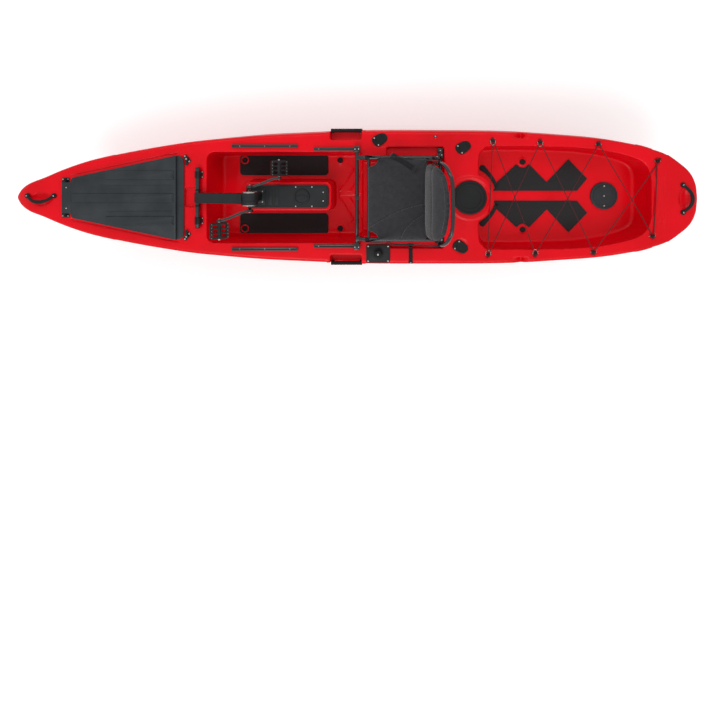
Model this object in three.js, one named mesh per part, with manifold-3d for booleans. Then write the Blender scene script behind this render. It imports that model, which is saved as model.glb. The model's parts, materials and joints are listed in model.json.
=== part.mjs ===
// Pedal kayak: a hollow moulded hull with a swing-up propeller drive, a framed seat and deck fittings.
// Millimetres. +X runs to the stern, +Y to starboard, +Z up. The origin lies on the flat bottom amidships.
import * as THREE from 'three';
import { mergeVertices } from 'three/addons/utils/BufferGeometryUtils.js';
import Module from 'manifold-3d';

const wasm = await Module();
wasm.setup();

// Clearances that every fit shares
const gap = 0.3;
const overrun = 40;
const bond = 1;

// Hull
const hull = { length: 3960, beam: 800, depth: 325, wall: 5, rim: 22 };
// Each row: place along the half length, half beam, keel height, sheer height, fullness of the section
const stationShares = [
  [-1, 0.02, 0.815, 0.914, 0],
  [-0.988, 0.118, 0.634, 0.948, 0],
  [-0.96, 0.208, 0.458, 0.99, 0],
  [-0.916, 0.292, 0.246, 1, 0.02],
  [-0.87, 0.39, 0.052, 1, 0.05],
  [-0.826, 0.472, -0.052, 1, 0.08],
  [-0.783, 0.54, -0.089, 1, 0.12],
  [-0.739, 0.595, -0.089, 1, 0.18],
  [-0.696, 0.643, -0.034, 1, 0.28],
  [-0.64, 0.7, 0.03, 1, 0.42],
  [-0.57, 0.765, 0.05, 1, 0.6],
  [-0.48, 0.837, 0.045, 1, 0.78],
  [-0.394, 0.883, 0.025, 1, 0.9],
  [-0.273, 0.935, 0.009, 1, 1],
  [-0.177, 0.96, 0, 1, 1],
  [0.025, 1, 0, 1, 1],
  [0.258, 1, 0.083, 1.025, 1],
  [0.455, 0.985, 0.166, 1.062, 1],
  [0.606, 0.938, 0.25, 1.083, 1],
  [0.732, 0.88, 0.326, 1.123, 1],
  [0.833, 0.785, 0.375, 1.175, 0.95],
  [0.864, 0.738, 0.39, 1.194, 0.95],
  [0.909, 0.655, 0.594, 1.212, 0.9],
  [0.944, 0.53, 0.757, 1.225, 0.8],
  [0.975, 0.388, 0.855, 1.228, 0.7],
  [0.992, 0.225, 0.942, 1.212, 0.5],
  [1, 0.03, 1.06, 1.163, 0.3],
];
// Corners of a section from the keel to the sheer: half beam and height, for a sharp and for a full section
const sectionShares = [
  [0.1, 0, 0.62, 0],
  [0.45, 0.2, 0.8, 0.06],
  [0.64, 0.38, 0.9, 0.18],
  [0.78, 0.55, 0.945, 0.36],
  [0.93, 0.8, 0.99, 0.7],
  [1, 1, 1, 1],
];

// The moulding's butt joints: ahead of the cockpit and behind the seat ledge
const hullJoint = { fore: 13, aft: 10 };

// Cockpit, console and drive well
const cockpit = { setback: 44, back: 60, sideDeck: 134, floor: 90, corner: 45, draft: 14 };
const seatWell = { length: 470, sideDeck: 178, floor: 180, corner: 40, draft: 10 };
const ledge = { front: 195, back: 531, sideDeck: 103, drop: 25, corner: 20 };
const consoleBox = { lead: 85, halfWidth: 88, top: 250, corner: 36, tail: 40, draft: 8 };
const well = { lead: 52, halfWidth: 48, reach: 12 };
const trough = { length: 80, halfWidth: 57, depth: 20, setback: 6, corner: 8 };
const scupper = { radius: 13, wall: 5, cockpitFront: 120, cockpitBack: 160, inset: 51 };

// Bow hatch
const bowLid = {
  bowSetback: 345, frontHalf: 116, backHalf: 254, corner: 60, height: 28, wall: 5, top: 6, setback: 85,
  tabLength: 55, tabHalf: 90, hatchInset: 30, lip: 40, lipHeight: 8,
};
const slat = { width: 50, height: 5, halfPitch: 150, frontInset: 14, backInset: 12 };
const lidHinge = { radius: 14, pin: 4, pinReach: 12, boreReach: 16, width: 26, length: 40, plate: 4, ear: 8 };
const lidCatch = { boss: 11, height: 15, arm: 40, armWidth: 14, armHeight: 6, offset: 16, half: 226 };

// Drive: the cross bar, the stay arm, the head, the leg and the propeller
const drive = { x: -580, axle: 405, well: 250 };
const bar = { radius: 12, half: 172, rise: 20, sides: 16 };
const clamp = { length: 46, width: 40, height: 34, half: 134 };
const stay = { reach: 319, halfWidth: 29, wall: 4, eye: 21, nose: 34, brow: 20, skew: 7.9, seat: 3, rib: 8 };
const stayHoles = {
  count: 4, first: 95, pitch: 45, spread: 1.8, radius: 8, growth: 3.6, drop: 0.6, sides: 12,
};
const head = { radius: 46, bore: 38, half: 34, cover: 42, coverThick: 6, columnHalf: 27, sides: 20 };
const column = { fore: 32, aft: 32, foot: 12.3 };
const axle = { radius: 9, half: 62, sides: 16 };
const crank = {
  length: 165, angle: 25, thick: 13, width: 28, tipWidth: 22, boss: 19, tipBoss: 14, out: 46, clearance: 4,
};
const spindle = { radius: 6, length: 108 };
const pedal = { length: 100, width: 92, thick: 22, rim: 12, slots: 3, barWidth: 7, tilt: 35, hub: 11 };
const cover = {
  thick: 12, halfWidth: 71, corner: 30, lip: 24, cap: 45, capRing: 5, capHeight: 5, capInset: 160,
};
const shaft = { radius: 5, bore: 9, sides: 12 };
const leg = { fore: 26, aft: 66, thick: 34, drop: 487 };
// Place along the leg's nose and tail, and half its thickness there
const legShares = [[-1, 0], [-0.5, 0.42], [0, 0.5], [0.5, 0.36], [1, 0]];
const legCase = { radius: 31, wall: 6, nose: 36, tail: 127, tailRadius: 20, sides: 24, bore: 7 };
// Place along the gear case's nose and tail, and its radius there
const caseShares = [[-1, 0], [-0.86, 0.5], [-0.45, 0.85], [0, 1], [0.35, 1], [0.7, 0.86]];
const chamberShares = [[-1, 0], [-0.6, 0.8], [0, 1], [1, 1], [1, 0]];
const skeg = { thick: 9, depth: 146, chord: 150 };
const skegShares = [
  [-0.11, 0.12], [0.08, 0.53], [0.22, 0.67], [0.53, 0.88], [0.77, 1], [0.85, 0.89], [0.78, 0.66],
  [0.75, 0.38], [0.78, 0.12], [0.6, -0.05], [0.05, -0.05],
];
const propeller = {
  radius: 75, hub: 17, hubLength: 52, blades: 2, root: 34, tip: 30, thick: 5, tipThick: 2, pitch: 32,
};
const hubShares = [[0, 0], [0, 1], [0.6, 1], [0.92, 0.6], [1, 0]];
// Each row: reach of the blade, then shares of its width and of its twist there
const bladeShares = [
  [0.1, 0.9, 1.2], [0.35, 1, 1], [0.6, 1.15, 0.85], [0.82, 1, 0.7], [0.96, 0.62, 0.6], [1, 0.25, 0.55],
];
const bladeSectionShares = [[-0.5, 0], [-0.2, 0.5], [0.2, 0.5], [0.5, 0], [0.2, -0.5], [-0.2, -0.5]];
const bladeSeatShare = 0.35;

// Bevel gears: teeth of the larger and the smaller gear, and the size of a tooth
const upperGears = { teeth: 32, mate: 8, module: 2, face: 8, web: 5 };
const lowerGears = { teeth: 16, mate: 8, module: 2.1, face: 5.5, web: 3 };
const toothShares = { width: 0.16, tip: 0.11, addendum: 0.75, dedendum: 1.15 };

// Footwell mats and deck hardware
const footMat = { back: -175, length: 555, inner: 120, wallGap: 16, corner: 22, thick: 5 };
const track = { width: 20, height: 9, groove: 3.6, grooveDepth: 3 };
const gearTrack = { front: -707, length: 386, edge: 100 };
const rail = { front: -228, length: 272, edge: 117 };
const plate = { x: 147, edge: 73, length: 140, width: 108, thick: 6, boss: 34, bossHeight: 4, sunk: 2 };
const knob = { radius: 26, height: 22, lobes: 5, depth: 3, sides: 30 };
const rodHole = { radius: 24, wall: 3, depth: 150, tilt: 20, sunk: 3 };
const rodCap = { length: 92, width: 78, thick: 7, plug: 23, plugDepth: 26, sides: 20 };
// Place along the hull, distance in from the full beam, and side
const rodEdges = { stbdFront: [156, 63, 1], stbdBack: [642, 109, 1], portBack: [625, 115, -1] };

// Hand grips
const endGrip = { length: 156, radius: 8, foot: 15, footHeight: 8, sides: 8, steps: 12, swellShare: 0.28 };
const bowGrip = { setback: 158, y: 10, bulge: 34, rise: 20 };
const sternGrip = { setback: 94, bulge: 38, rise: 28 };
const notch = { front: -135, length: 185, width: 65, floor: 238, corner: 10 };
const sideGrip = { radius: 12, foot: 16, out: 58, rise: 34, sides: 12 };

// Stern tank well and hatches
const tank = { front: 730, sternSetback: 269, sideDeck: 102, floor: 200, draft: 12 };
const tankShares = [
  [0, 0.7], [0.008, 0.86], [0.03, 0.95], [0.07, 1], [0.35, 1], [0.6, 0.97], [0.78, 0.89], [0.91, 0.77],
  [0.965, 0.66], [0.99, 0.52], [1, 0.36],
];
const island = { setback: 50, radius: 140 };
const midHatch = { hole: 80, lid: 99, thick: 11, spigot: 16, wall: 5, sunk: 3, sides: 28 };
const sternHatch = { setback: 198, hole: 66, lid: 83, thick: 10, spigot: 14, wall: 5, sides: 24 };
const turnGrip = { length: 96, width: 10, height: 7 };
const deckMat = { lead: 95, hatchGap: 45, inner: 32, wallGap: 90, thick: 5 };
const tankScupper = { wallGap: 92, matShare: 0.348 };
const deckMatShares = [
  [0, 0], [0.88, 0], [1, 0.42], [0.8, 1], [0.58, 0.3], [0.36, 0.86], [0.3, 0.7], [0.2, 0.7],
  [0.14, 0.82], [0.02, 0.22],
];

// Bungee and its eyes
const eye = { length: 34, width: 16, base: 4, hole: 9, rim: 4.5, thick: 7, sunk: 3, pad: 22, sides: 12 };
const eyePlaces = { shares: [0.071, 0.349, 0.687, 1.02], out: [32, 24, 13, -84], stagger: 14 };
const bungee = { radius: 2.2, sides: 8, lane: 4.6, turn: 7, lift: 9, height: 4.2, steps: 4 };

// Seat
const seat = { barX: 25, tube: 12, crossTube: 9.6, edge: 65, rise: 48.4, sides: 8 };
const seatBar = { radius: 11, reach: 7, lift: 4, sides: 16 };
const slider = { length: 34, width: 34, height: 28 };
const saddle = { length: 36, height: 12.3 };
const seatFoot = { x: 510, out: 12, length: 36, width: 26, height: 20, reach: 26 };
// Place from the bar to the foot, and height from the foot or from the front end up to the seat
const sidePathShares = [[1, 0], [0.95, 0.6], [0.9, 0.9], [0.84, 1], [0.5, 1], [0.2, 1]];
const frontPathShares = [[0.12, 0.78], [0.04, 0]];
const crossTubes = { front: 96, back: 420 };
const pad = {
  front: 85, back: 424, lap: 8, rest: 1.5, thick: 22, crown: 9, cut: 62, seam: 3, cols: 12, rows: 12,
};
// How far the cut corners draw in, where the seams start and end across, and the crown's least rise
const padShares = { cut: 0.8, seamFront: 0.2, seamBack: 0.62, rise: 0.06 };
const backrest = {
  x: 484, rise: 30, inset: 27, tube: 10, corner: 39, crown: 14, eye: 15, eyeThick: 15, pin: 5,
};
const backPath = [[0, 0], [-16, 52], [-23, 112], [-20, 180], [-12, 240], [2, 300], [24, 344], [38, 372]];
const panel = { inset: 1, bottom: 26, top: 352, thick: 26, lean: 52, clearance: 1.5, cols: 10, rows: 10 };
// How much flatter the panel is at its edges, how far it narrows, and how its edge thins
const panelShares = { flat: 0.55, back: 0.55, taper: 0.06, edge: 0.5 };
// Height up the panel, and how far its front stands before the tubes
const bellyShares = [[0, 0.1], [0.1, 0.42], [0.25, 0.86], [0.4, 1], [0.6, 0.9], [0.8, 0.66], [1, 0.3]];
const strap = {
  width: 25, thick: 2.5, top: 268, frontX: 78, clearance: 2, buckle: 34, buckleWidth: 32, buckleThick: 9,
  buckleShare: 0.38,
};

// Places that follow from the sizes above
const half = hull.length / 2;
const halfBeam = hull.beam / 2;
const cockpitHalf = halfBeam - cockpit.sideDeck;
const seatWellHalf = halfBeam - seatWell.sideDeck;
const ledgeHalf = halfBeam - ledge.sideDeck;
const tankHalf = halfBeam - tank.sideDeck;
const gearTrackHalf = halfBeam - gearTrack.edge;
const railHalf = halfBeam - rail.edge;
const plateHalf = halfBeam - plate.edge;
const notchInner = halfBeam - notch.width;
const tankScupperHalf = tankHalf - tankScupper.wallGap;
const seatHalf = ledgeHalf - seat.edge;
const seatFootHalf = seatHalf + seatFoot.out;
const backrestHalf = seatHalf - backrest.inset;
const rodPlaces = Object.fromEntries(Object.entries(rodEdges).map(
  ([name, [x, edge, side]]) => [name, [x, side * (halfBeam - edge)]],
));
const deck = hull.depth;
const ceiling = deck + deck / 2 + overrun;
const barX = drive.x - stay.reach;
const barZ = deck + bar.rise;
const wellFront = drive.x - well.lead;
const propZ = drive.axle - leg.drop;
const [skegTipShare] = skegShares.find(([, down]) => down === 1);
const skegTipX = drive.x + skegTipShare * skeg.chord;
const swing = Math.hypot(skegTipX - barX, propZ - skeg.depth - barZ);
const wellBack = barX + Math.sqrt(swing ** 2 - (barZ - consoleBox.top) ** 2) + well.reach;
const consoleFront = drive.x - consoleBox.lead;
const consoleBack = wellBack + consoleBox.tail;
const coverTop = consoleBox.top + gap + cover.thick;
const lidBack = barX - bowLid.setback;
const lidFront = bowLid.bowSetback - half;
const hingeZ = deck + lidHinge.radius + gap * 2;
const islandX = tank.front - island.setback;
const tankBack = half - tank.sternSetback;
const sternHatchX = tankBack - sternHatch.setback;
const matFront = tank.front + deckMat.lead;
const matBack = sternHatchX - sternHatch.lid - deckMat.hatchGap;
const railTop = deck + gap + track.height;
const seatBarZ = railTop + gap + seatBar.radius + seatBar.lift;
const seatZ = seatBarZ + seat.rise;
const pivotZ = seatZ + backrest.rise;
const fullTurn = 2 * Math.PI;

// Shape helpers
const lerp = (a, b, share) => a + (b - a) * share;
const radians = (degrees) => (degrees * Math.PI) / 180;

function solid(geometry) {
  const bare = geometry.clone();
  bare.deleteAttribute('normal');
  bare.deleteAttribute('uv');
  const merged = mergeVertices(bare, gap / 100);
  const index = merged.index.array;
  const triangles = [];
  for (let i = 0; i < index.length; i += 3) {
    const [a, b, c] = [index[i], index[i + 1], index[i + 2]];
    if (a !== b && b !== c && c !== a) triangles.push(a, b, c);
  }
  return new wasm.Manifold(new wasm.Mesh({
    numProp: 3,
    vertProperties: new Float32Array(merged.attributes.position.array),
    triVerts: new Uint32Array(triangles),
  }));
}

function geometryOf(body) {
  const mesh = body.getMesh();
  const geometry = new THREE.BufferGeometry();
  geometry.setAttribute('position', new THREE.BufferAttribute(mesh.vertProperties, 3));
  geometry.setIndex(new THREE.BufferAttribute(mesh.triVerts, 1));
  geometry.computeVertexNormals();
  return geometry;
}

const joined = (bodies) => bodies.reduce((all, one) => all.add(one));

// A closed skin over rings of equal count, with a fan over each end
function loft(rings) {
  const count = rings[0].length;
  const points = rings.flat();
  const triangles = [];
  for (let r = 0; r < rings.length - 1; r += 1) {
    for (let i = 0; i < count; i += 1) {
      const a = r * count + i;
      const b = r * count + ((i + 1) % count);
      triangles.push(a, b, a + count, b, b + count, a + count);
    }
  }
  for (const [ring, flip] of [[0, true], [rings.length - 1, false]]) {
    const centre = new THREE.Vector3();
    rings[ring].forEach((point) => centre.addScaledVector(point, 1 / count));
    points.push(centre);
    for (let i = 0; i < count; i += 1) {
      const edge = [ring * count + i, ring * count + ((i + 1) % count)];
      if (flip) edge.reverse();
      triangles.push(edge[0], edge[1], points.length - 1);
    }
  }
  const volume = (a, b, c) => points[a].dot(new THREE.Vector3().crossVectors(points[b], points[c]));
  let total = 0;
  for (let i = 0; i < triangles.length; i += 3) total += volume(...triangles.slice(i, i + 3));
  if (total < 0) triangles.reverse();
  const geometry = new THREE.BufferGeometry().setFromPoints(points);
  geometry.setIndex(triangles);
  return solid(geometry);
}

function block([x0, x1], [y0, y1], [z0, z1]) {
  const geometry = new THREE.BoxGeometry(x1 - x0, y1 - y0, z1 - z0);
  return solid(geometry.translate((x0 + x1) / 2, (y0 + y1) / 2, (z0 + z1) / 2));
}

const around = (centre, halfSize) => [centre - halfSize, centre + halfSize];

// A round bar along one axis between two places; centre gives the other two coordinates in order
function round(axis, centre, radius, [from, to], sides) {
  const geometry = new THREE.CylinderGeometry(radius, radius, to - from, sides);
  const middle = (from + to) / 2;
  if (axis === 'x') geometry.rotateZ(Math.PI / 2).translate(middle, centre[0], centre[1]);
  if (axis === 'y') geometry.translate(centre[0], middle, centre[1]);
  if (axis === 'z') geometry.rotateX(Math.PI / 2).translate(centre[0], centre[1], middle);
  return solid(geometry);
}

// A turned shape: rows of radius and place along the axis, through one point
function turned(axis, centre, profile, sides) {
  const geometry = new THREE.LatheGeometry(profile.map(([r, h]) => new THREE.Vector2(r, h)), sides);
  if (axis === 'x') geometry.rotateZ(-Math.PI / 2);
  if (axis === 'z') geometry.rotateX(Math.PI / 2);
  return solid(geometry.translate(...centre));
}

const shapeOf = (outline) => new THREE.Shape(outline.map(([a, b]) => new THREE.Vector2(a, b)));

// A plan outline raised from z0 to z1
function slab(outline, [z0, z1]) {
  const geometry = new THREE.ExtrudeGeometry(shapeOf(outline), { depth: z1 - z0, bevelEnabled: false });
  return solid(geometry.translate(0, 0, z0));
}

// A side outline in x and z, as thick as y0 to y1
function sideSlab(outline, [y0, y1]) {
  const geometry = new THREE.ExtrudeGeometry(shapeOf(outline), { depth: y1 - y0, bevelEnabled: false });
  return solid(geometry.rotateX(Math.PI / 2).translate(0, y1, 0));
}

// A route whose steps fall on its own points
class PointPath extends THREE.Curve {
  constructor(points) {
    super();
    this.points = points;
  }

  getPoint(share) {
    const place = share * (this.points.length - 1);
    const low = Math.min(Math.floor(place), this.points.length - 2);
    return new THREE.Vector3().lerpVectors(this.points[low], this.points[low + 1], place - low);
  }

  getPointAt(share) {
    return this.getPoint(share);
  }

  getTangentAt(share) {
    const last = this.points.length - 1;
    const place = Math.round(share * last);
    const [before, after] = [Math.max(place - 1, 0), Math.min(place + 1, last)];
    return new THREE.Vector3().subVectors(this.points[after], this.points[before]).normalize();
  }
}

function circle(radius, sides) {
  const corners = Array.from({ length: sides }, (unused, i) => (i * fullTurn) / sides);
  return corners.map((angle) => [radius * Math.cos(angle), radius * Math.sin(angle)]);
}

function pipe(points, radius, sides, outline = circle(radius, sides)) {
  const extrudePath = new PointPath(points);
  const settings = { steps: points.length - 1, bevelEnabled: false, extrudePath };
  return solid(new THREE.ExtrudeGeometry(shapeOf(outline), settings));
}

const smooth = (points, steps) => new THREE.CatmullRomCurve3(points).getPoints(steps);
const vector = (x, y, z) => new THREE.Vector3(x, y, z);

const cornerSteps = 3;

// A plan outline with a round at each corner given as [x, y, radius], counter-clockwise
function rounded(corners) {
  const outline = [];
  corners.forEach(([x, y, radius], i) => {
    const before = corners[(i + corners.length - 1) % corners.length];
    const after = corners[(i + 1) % corners.length];
    const at = new THREE.Vector2(x, y);
    const back = new THREE.Vector2(before[0], before[1]).sub(at).normalize();
    const on = new THREE.Vector2(after[0], after[1]).sub(at).normalize();
    const turn = Math.acos(back.dot(on));
    const run = radius / Math.tan(turn / 2);
    const from = at.clone().addScaledVector(back, run);
    const to = at.clone().addScaledVector(on, run);
    const arc = new THREE.QuadraticBezierCurve(from, at, to);
    arc.getPoints(cornerSteps).forEach((point) => outline.push([point.x, point.y]));
  });
  return outline;
}

function rectangle(x0, x1, halfWidth, corner, middle = 0) {
  const [low, high] = around(middle, halfWidth);
  return rounded([[x0, low, corner], [x1, low, corner], [x1, high, corner], [x0, high, corner]]);
}

// An outline moved outwards by an amount, corner by corner
function grown(outline, amount) {
  const count = outline.length;
  return outline.map(([x, y], i) => {
    const [bx, by] = outline[(i + count - 1) % count];
    const [ax, ay] = outline[(i + 1) % count];
    const before = new THREE.Vector2(y - by, bx - x).normalize();
    const after = new THREE.Vector2(ay - y, x - ax).normalize();
    const mitre = before.clone().add(after).normalize();
    const reach = amount / Math.max(mitre.dot(before), 0.5);
    return [x + mitre.x * reach, y + mitre.y * reach];
  });
}

const mirrored = (outline) => [...outline, ...outline.map(([x, y]) => [x, -y]).reverse()];

// A tub or island: an outline at its floor that opens out by its draft towards the top
function tub(outline, floor, top, draft) {
  const ring = (points, z) => points.map(([x, y]) => vector(x, y, z));
  return loft([ring(grown(outline, -draft), floor), ring(outline, top)]);
}

// Scene
const kayak = new THREE.Group();
const colours = {
  red: { color: 0xd90a1e, roughness: 0.32, metalness: 0 },
  plastic: { color: 0x26292b, roughness: 0.5, metalness: 0 },
  charcoal: { color: 0x33383b, roughness: 0.55, metalness: 0 },
  rubber: { color: 0x1d1f20, roughness: 0.85, metalness: 0 },
  fabric: { color: 0x3b3c40, roughness: 0.95, metalness: 0 },
  tube: { color: 0x1b1c1e, roughness: 0.35, metalness: 0.6 },
  steel: { color: 0xb9bcbf, roughness: 0.3, metalness: 1 },
};

function add(name, body, finish, parent = kayak) {
  const mesh = new THREE.Mesh(geometryOf(body), new THREE.MeshStandardMaterial(colours[finish]));
  mesh.name = name;
  parent.add(mesh);
  return mesh;
}

// Hull sections: a ring across the hull, drawn in by an inset for the inner skin
function sectionRing([place, beamShare, keelShare, sheerShare, full], inset) {
  const halfBeam = (beamShare * hull.beam) / 2 - inset;
  const keel = keelShare * hull.depth + inset;
  const sheer = sheerShare * hull.depth - inset;
  const rim = Math.min(hull.rim, halfBeam / 2, (sheer - keel) / 3);
  const side = sectionShares.map(([sharpY, sharpZ, fullY, fullZ]) => [
    halfBeam * lerp(sharpY, fullY, full),
    lerp(keel, sheer - rim, lerp(sharpZ, fullZ, full)),
  ]);
  const rimAngles = [30, 60, 90].map(radians);
  rimAngles.forEach((angle) => {
    side.push([halfBeam - rim + rim * Math.cos(angle), sheer - rim + rim * Math.sin(angle)]);
  });
  const starboard = side.map(([y, z]) => vector(place * half, y, z));
  const port = side.map(([y, z]) => vector(place * half, -y, z)).reverse();
  return [vector(place * half, 0, keel), ...starboard, vector(place * half, 0, sheer), ...port];
}

function hullBody(inset) {
  const rows = inset > 0 ? stationShares.slice(1, -2) : stationShares;
  return loft(rows.map((row) => sectionRing(row, inset)));
}

// Deck height at a place along the hull
function deckAt(x) {
  const after = stationShares.findIndex(([place]) => place * half > x);
  const [low, high] = [stationShares[after - 1], stationShares[after]];
  const share = (x / half - low[0]) / (high[0] - low[0]);
  return lerp(low[3], high[3], share) * hull.depth;
}

const bowHatchOutline = (inset) => mirrored(rounded([
  [lidFront + inset, -bowLid.frontHalf + inset, 0],
  [lidBack - inset, -bowLid.backHalf + inset, bowLid.corner],
  [lidBack - inset, 0, 0],
  [lidFront + inset, 0, 0],
]).filter(([, y]) => y < 0));

const tankOutline = mirrored(tankShares.map(([along, across]) => [
  lerp(tank.front, tankBack, along), -across * tankHalf,
]));

const scupperPlaces = [
  [drive.x - scupper.cockpitFront, cockpitHalf - scupper.inset],
  [cockpit.back - scupper.cockpitBack, cockpitHalf - scupper.inset],
  [lerp(matFront, matBack, tankScupper.matShare), tankScupperHalf],
].flatMap(([x, y]) => [[x, y], [x, -y]]);

const eyeList = ['port', 'stbd'].flatMap((side) => eyePlaces.shares.map((share, i) => {
  const sign = side === 'stbd' ? 1 : -1;
  const place = lerp(tank.front, tankBack, share) + sign * eyePlaces.stagger;
  const z = deckAt(place) - eye.sunk;
  return { name: `pad_eye_${side}_${i + 1}`, x: place, y: sign * (tankHalf + eyePlaces.out[i]), z };
}));

// A blind tube sunk into the deck, leaning so that its foot lies forward
function rodTube([x, y], radius, depth, from) {
  const geometry = new THREE.CylinderGeometry(radius, radius, depth + from, rodCap.sides);
  geometry.rotateX(Math.PI / 2).translate(0, 0, (from - depth) / 2);
  geometry.rotateY(radians(rodHole.tilt)).translate(x, y, deckAt(x) - rodHole.sunk);
  return solid(geometry);
}

// Everything moulded into the deck and bottom; grow takes in the wall round it
function recesses(grow) {
  const front = barX + cockpit.setback;
  const footwell = tub(
    grown(rectangle(front, cockpit.back, cockpitHalf, cockpit.corner), grow),
    cockpit.floor - grow, ceiling, cockpit.draft,
  );
  const pod = tub(
    grown(rectangle(consoleFront, consoleBack, consoleBox.halfWidth, consoleBox.corner), -grow),
    cockpit.floor - overrun, consoleBox.top - grow, -consoleBox.draft,
  );
  const underSeat = tub(
    grown(rectangle(cockpit.back - cockpit.corner * 2, cockpit.back + seatWell.length - cockpit.corner,
      seatWellHalf, seatWell.corner), grow),
    seatWell.floor - grow, ceiling, seatWell.draft,
  );
  const shelf = slab(
    grown(rectangle(ledge.front, ledge.back, ledgeHalf, ledge.corner), grow),
    [deck - ledge.drop - grow, ceiling],
  );
  const deckTank = tub(grown(tankOutline, grow), tank.floor - grow, ceiling, tank.draft)
    .subtract(round('z', [islandX, 0], island.radius - grow, [0, ceiling], midHatch.sides));
  const bowTrough = slab(
    grown(rectangle(barX - trough.setback - trough.length, barX - trough.setback, trough.halfWidth,
      trough.corner), grow),
    [deck - trough.depth - grow, ceiling],
  );
  const parts = [footwell.subtract(pod), underSeat, shelf, deckTank, bowTrough];
  const bottom = -hull.depth;
  const slot = rectangle(wellFront, wellBack, well.halfWidth, well.halfWidth / 3);
  parts.push(slab(grown(slot, grow), [bottom, consoleBox.top + bond]));
  scupperPlaces.forEach(([x, y]) => {
    const wall = grow > 0 ? scupper.wall : 0;
    parts.push(round('z', [x, y], scupper.radius + wall, [bottom, tank.floor + bond], shaft.sides));
  });
  for (const sign of [1, -1]) {
    const sides = sign > 0 ? [notchInner - grow, hull.beam] : [-hull.beam, -notchInner + grow];
    const run = [notch.front - grow, notch.front + notch.length + grow];
    parts.push(block(run, sides, [notch.floor - grow, ceiling]));
  }
  Object.values(rodPlaces).forEach((place) => {
    const wall = grow > 0 ? rodHole.wall : 0;
    parts.push(rodTube(place, rodHole.radius + wall, rodHole.depth + wall, overrun));
  });
  return joined(parts);
}

// Flat seats cut into the sloping deck, and the hatch openings through the shell
function deckCuts() {
  const cuts = eyeList.map(({ x, y, z }) => round('z', [x, y], eye.pad, [z, ceiling], shaft.sides));
  Object.values(rodPlaces).forEach(([x, y]) => {
    const pocket = rodCap.length / 2 + gap * 4;
    cuts.push(round('z', [x, y], pocket, [deckAt(x) - rodHole.sunk, ceiling], rodCap.sides));
  });
  cuts.push(slab(
    rectangle(plate.x - plate.length / 2 - bond, plate.x + plate.length / 2 + bond, plate.width / 2 + bond,
      bond, -plateHalf), [deckAt(plate.x) - plate.sunk, ceiling],
  ));
  const under = hull.wall * 2;
  const midSeat = deckAt(islandX) - midHatch.sunk;
  cuts.push(round('z', [islandX, 0], midHatch.lid + bond, [midSeat, ceiling], midHatch.sides));
  cuts.push(round('z', [islandX, 0], midHatch.hole, [midSeat - under, ceiling], midHatch.sides));
  const sternSeat = [tank.floor - under, tank.floor + bond];
  cuts.push(round('z', [sternHatchX, 0], sternHatch.hole, sternSeat, sternHatch.sides));
  cuts.push(slab(bowHatchOutline(bowLid.hatchInset), [deck - under, ceiling]));
  return joined(cuts);
}

const shell = hullBody(0).subtract(recesses(0)).subtract(deckCuts());
const moulding = shell.subtract(hullBody(hull.wall).subtract(recesses(hull.wall)));
const foreJoint = barX + cockpit.setback - hullJoint.fore;
const aftJoint = ledge.back + hullJoint.aft;
const sections = {
  hull_bow: [-hull.length, foreJoint - gap / 2],
  hull_middle: [foreJoint + gap / 2, aftJoint - gap / 2],
  hull_stern: [aftJoint + gap / 2, hull.length],
};
for (const [name, run] of Object.entries(sections)) {
  add(name, moulding.intersect(block(run, around(0, hull.beam), around(0, hull.length))), 'red');
}

// Bow hatch lid: a raised hollow cover with a hinge tab in front and a low lip behind
const lidBase = deck + gap;
const lidTop = lidBase + bowLid.height;
const lipFront = lidBack - bowLid.lip;
const tabFront = lidFront - bowLid.tabLength + lidHinge.radius;
const tabTop = hingeZ + lidHinge.radius;
let lid = slab(bowHatchOutline(0), [lidBase, lidTop]);
lid = lid.subtract(block(
  [lipFront, lidBack + bond], around(0, bowLid.backHalf + bond), [lidBase + bowLid.lipHeight, ceiling],
));
lid = lid.subtract(slab(bowHatchOutline(bowLid.wall + bowLid.lip), [lidBase - bond, lidTop - bowLid.top]));
for (const centre of [-slat.halfPitch, 0, slat.halfPitch]) {
  const inward = Math.abs(centre) + slat.width / 2;
  const slope = (bowLid.backHalf - bowLid.frontHalf) / (lidBack - lidFront);
  const start = Math.max(lidFront, lidFront + (inward - bowLid.frontHalf) / slope) + slat.frontInset;
  const ends = [start, lipFront - slat.backInset];
  lid = lid.add(block(ends, around(centre, slat.width / 2), [lidTop - bond, lidTop + slat.height]));
}
lid = lid.add(block([tabFront, lidFront + bowLid.wall], around(0, bowLid.tabHalf), [hingeZ, tabTop]));
lid = lid.add(round('y', [tabFront, hingeZ], lidHinge.radius, around(0, bowLid.tabHalf), shaft.sides));
for (const side of [1, -1]) {
  const bore = around(side * bowLid.tabHalf, lidHinge.boreReach);
  lid = lid.subtract(round('y', [tabFront, hingeZ], lidHinge.pin + gap, bore, shaft.sides));
}
add('bow_hatch_lid', lid, 'charcoal');

for (const [name, side] of [['lid_hinge_stbd', 1], ['lid_hinge_port', -1]]) {
  const inner = side * (bowLid.tabHalf + gap * 2);
  const span = (reach) => [inner, inner + side * reach].sort((a, b) => a - b);
  const foot = [deck + gap, deck + gap + lidHinge.plate];
  const base = block(around(tabFront, lidHinge.length / 2), span(lidHinge.width), foot);
  const ear = round('y', [tabFront, hingeZ], lidHinge.radius - gap, span(lidHinge.ear), shaft.sides);
  const stem = block(around(tabFront, lidHinge.radius - bond), span(lidHinge.ear), [deck + gap, hingeZ]);
  const pinEnds = [inner - side * lidHinge.pinReach, inner + side * bond].sort((a, b) => a - b);
  const pin = round('y', [tabFront, hingeZ], lidHinge.pin, pinEnds, shaft.sides);
  add(name, joined([base, ear, stem, pin]), 'plastic');
}

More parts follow.
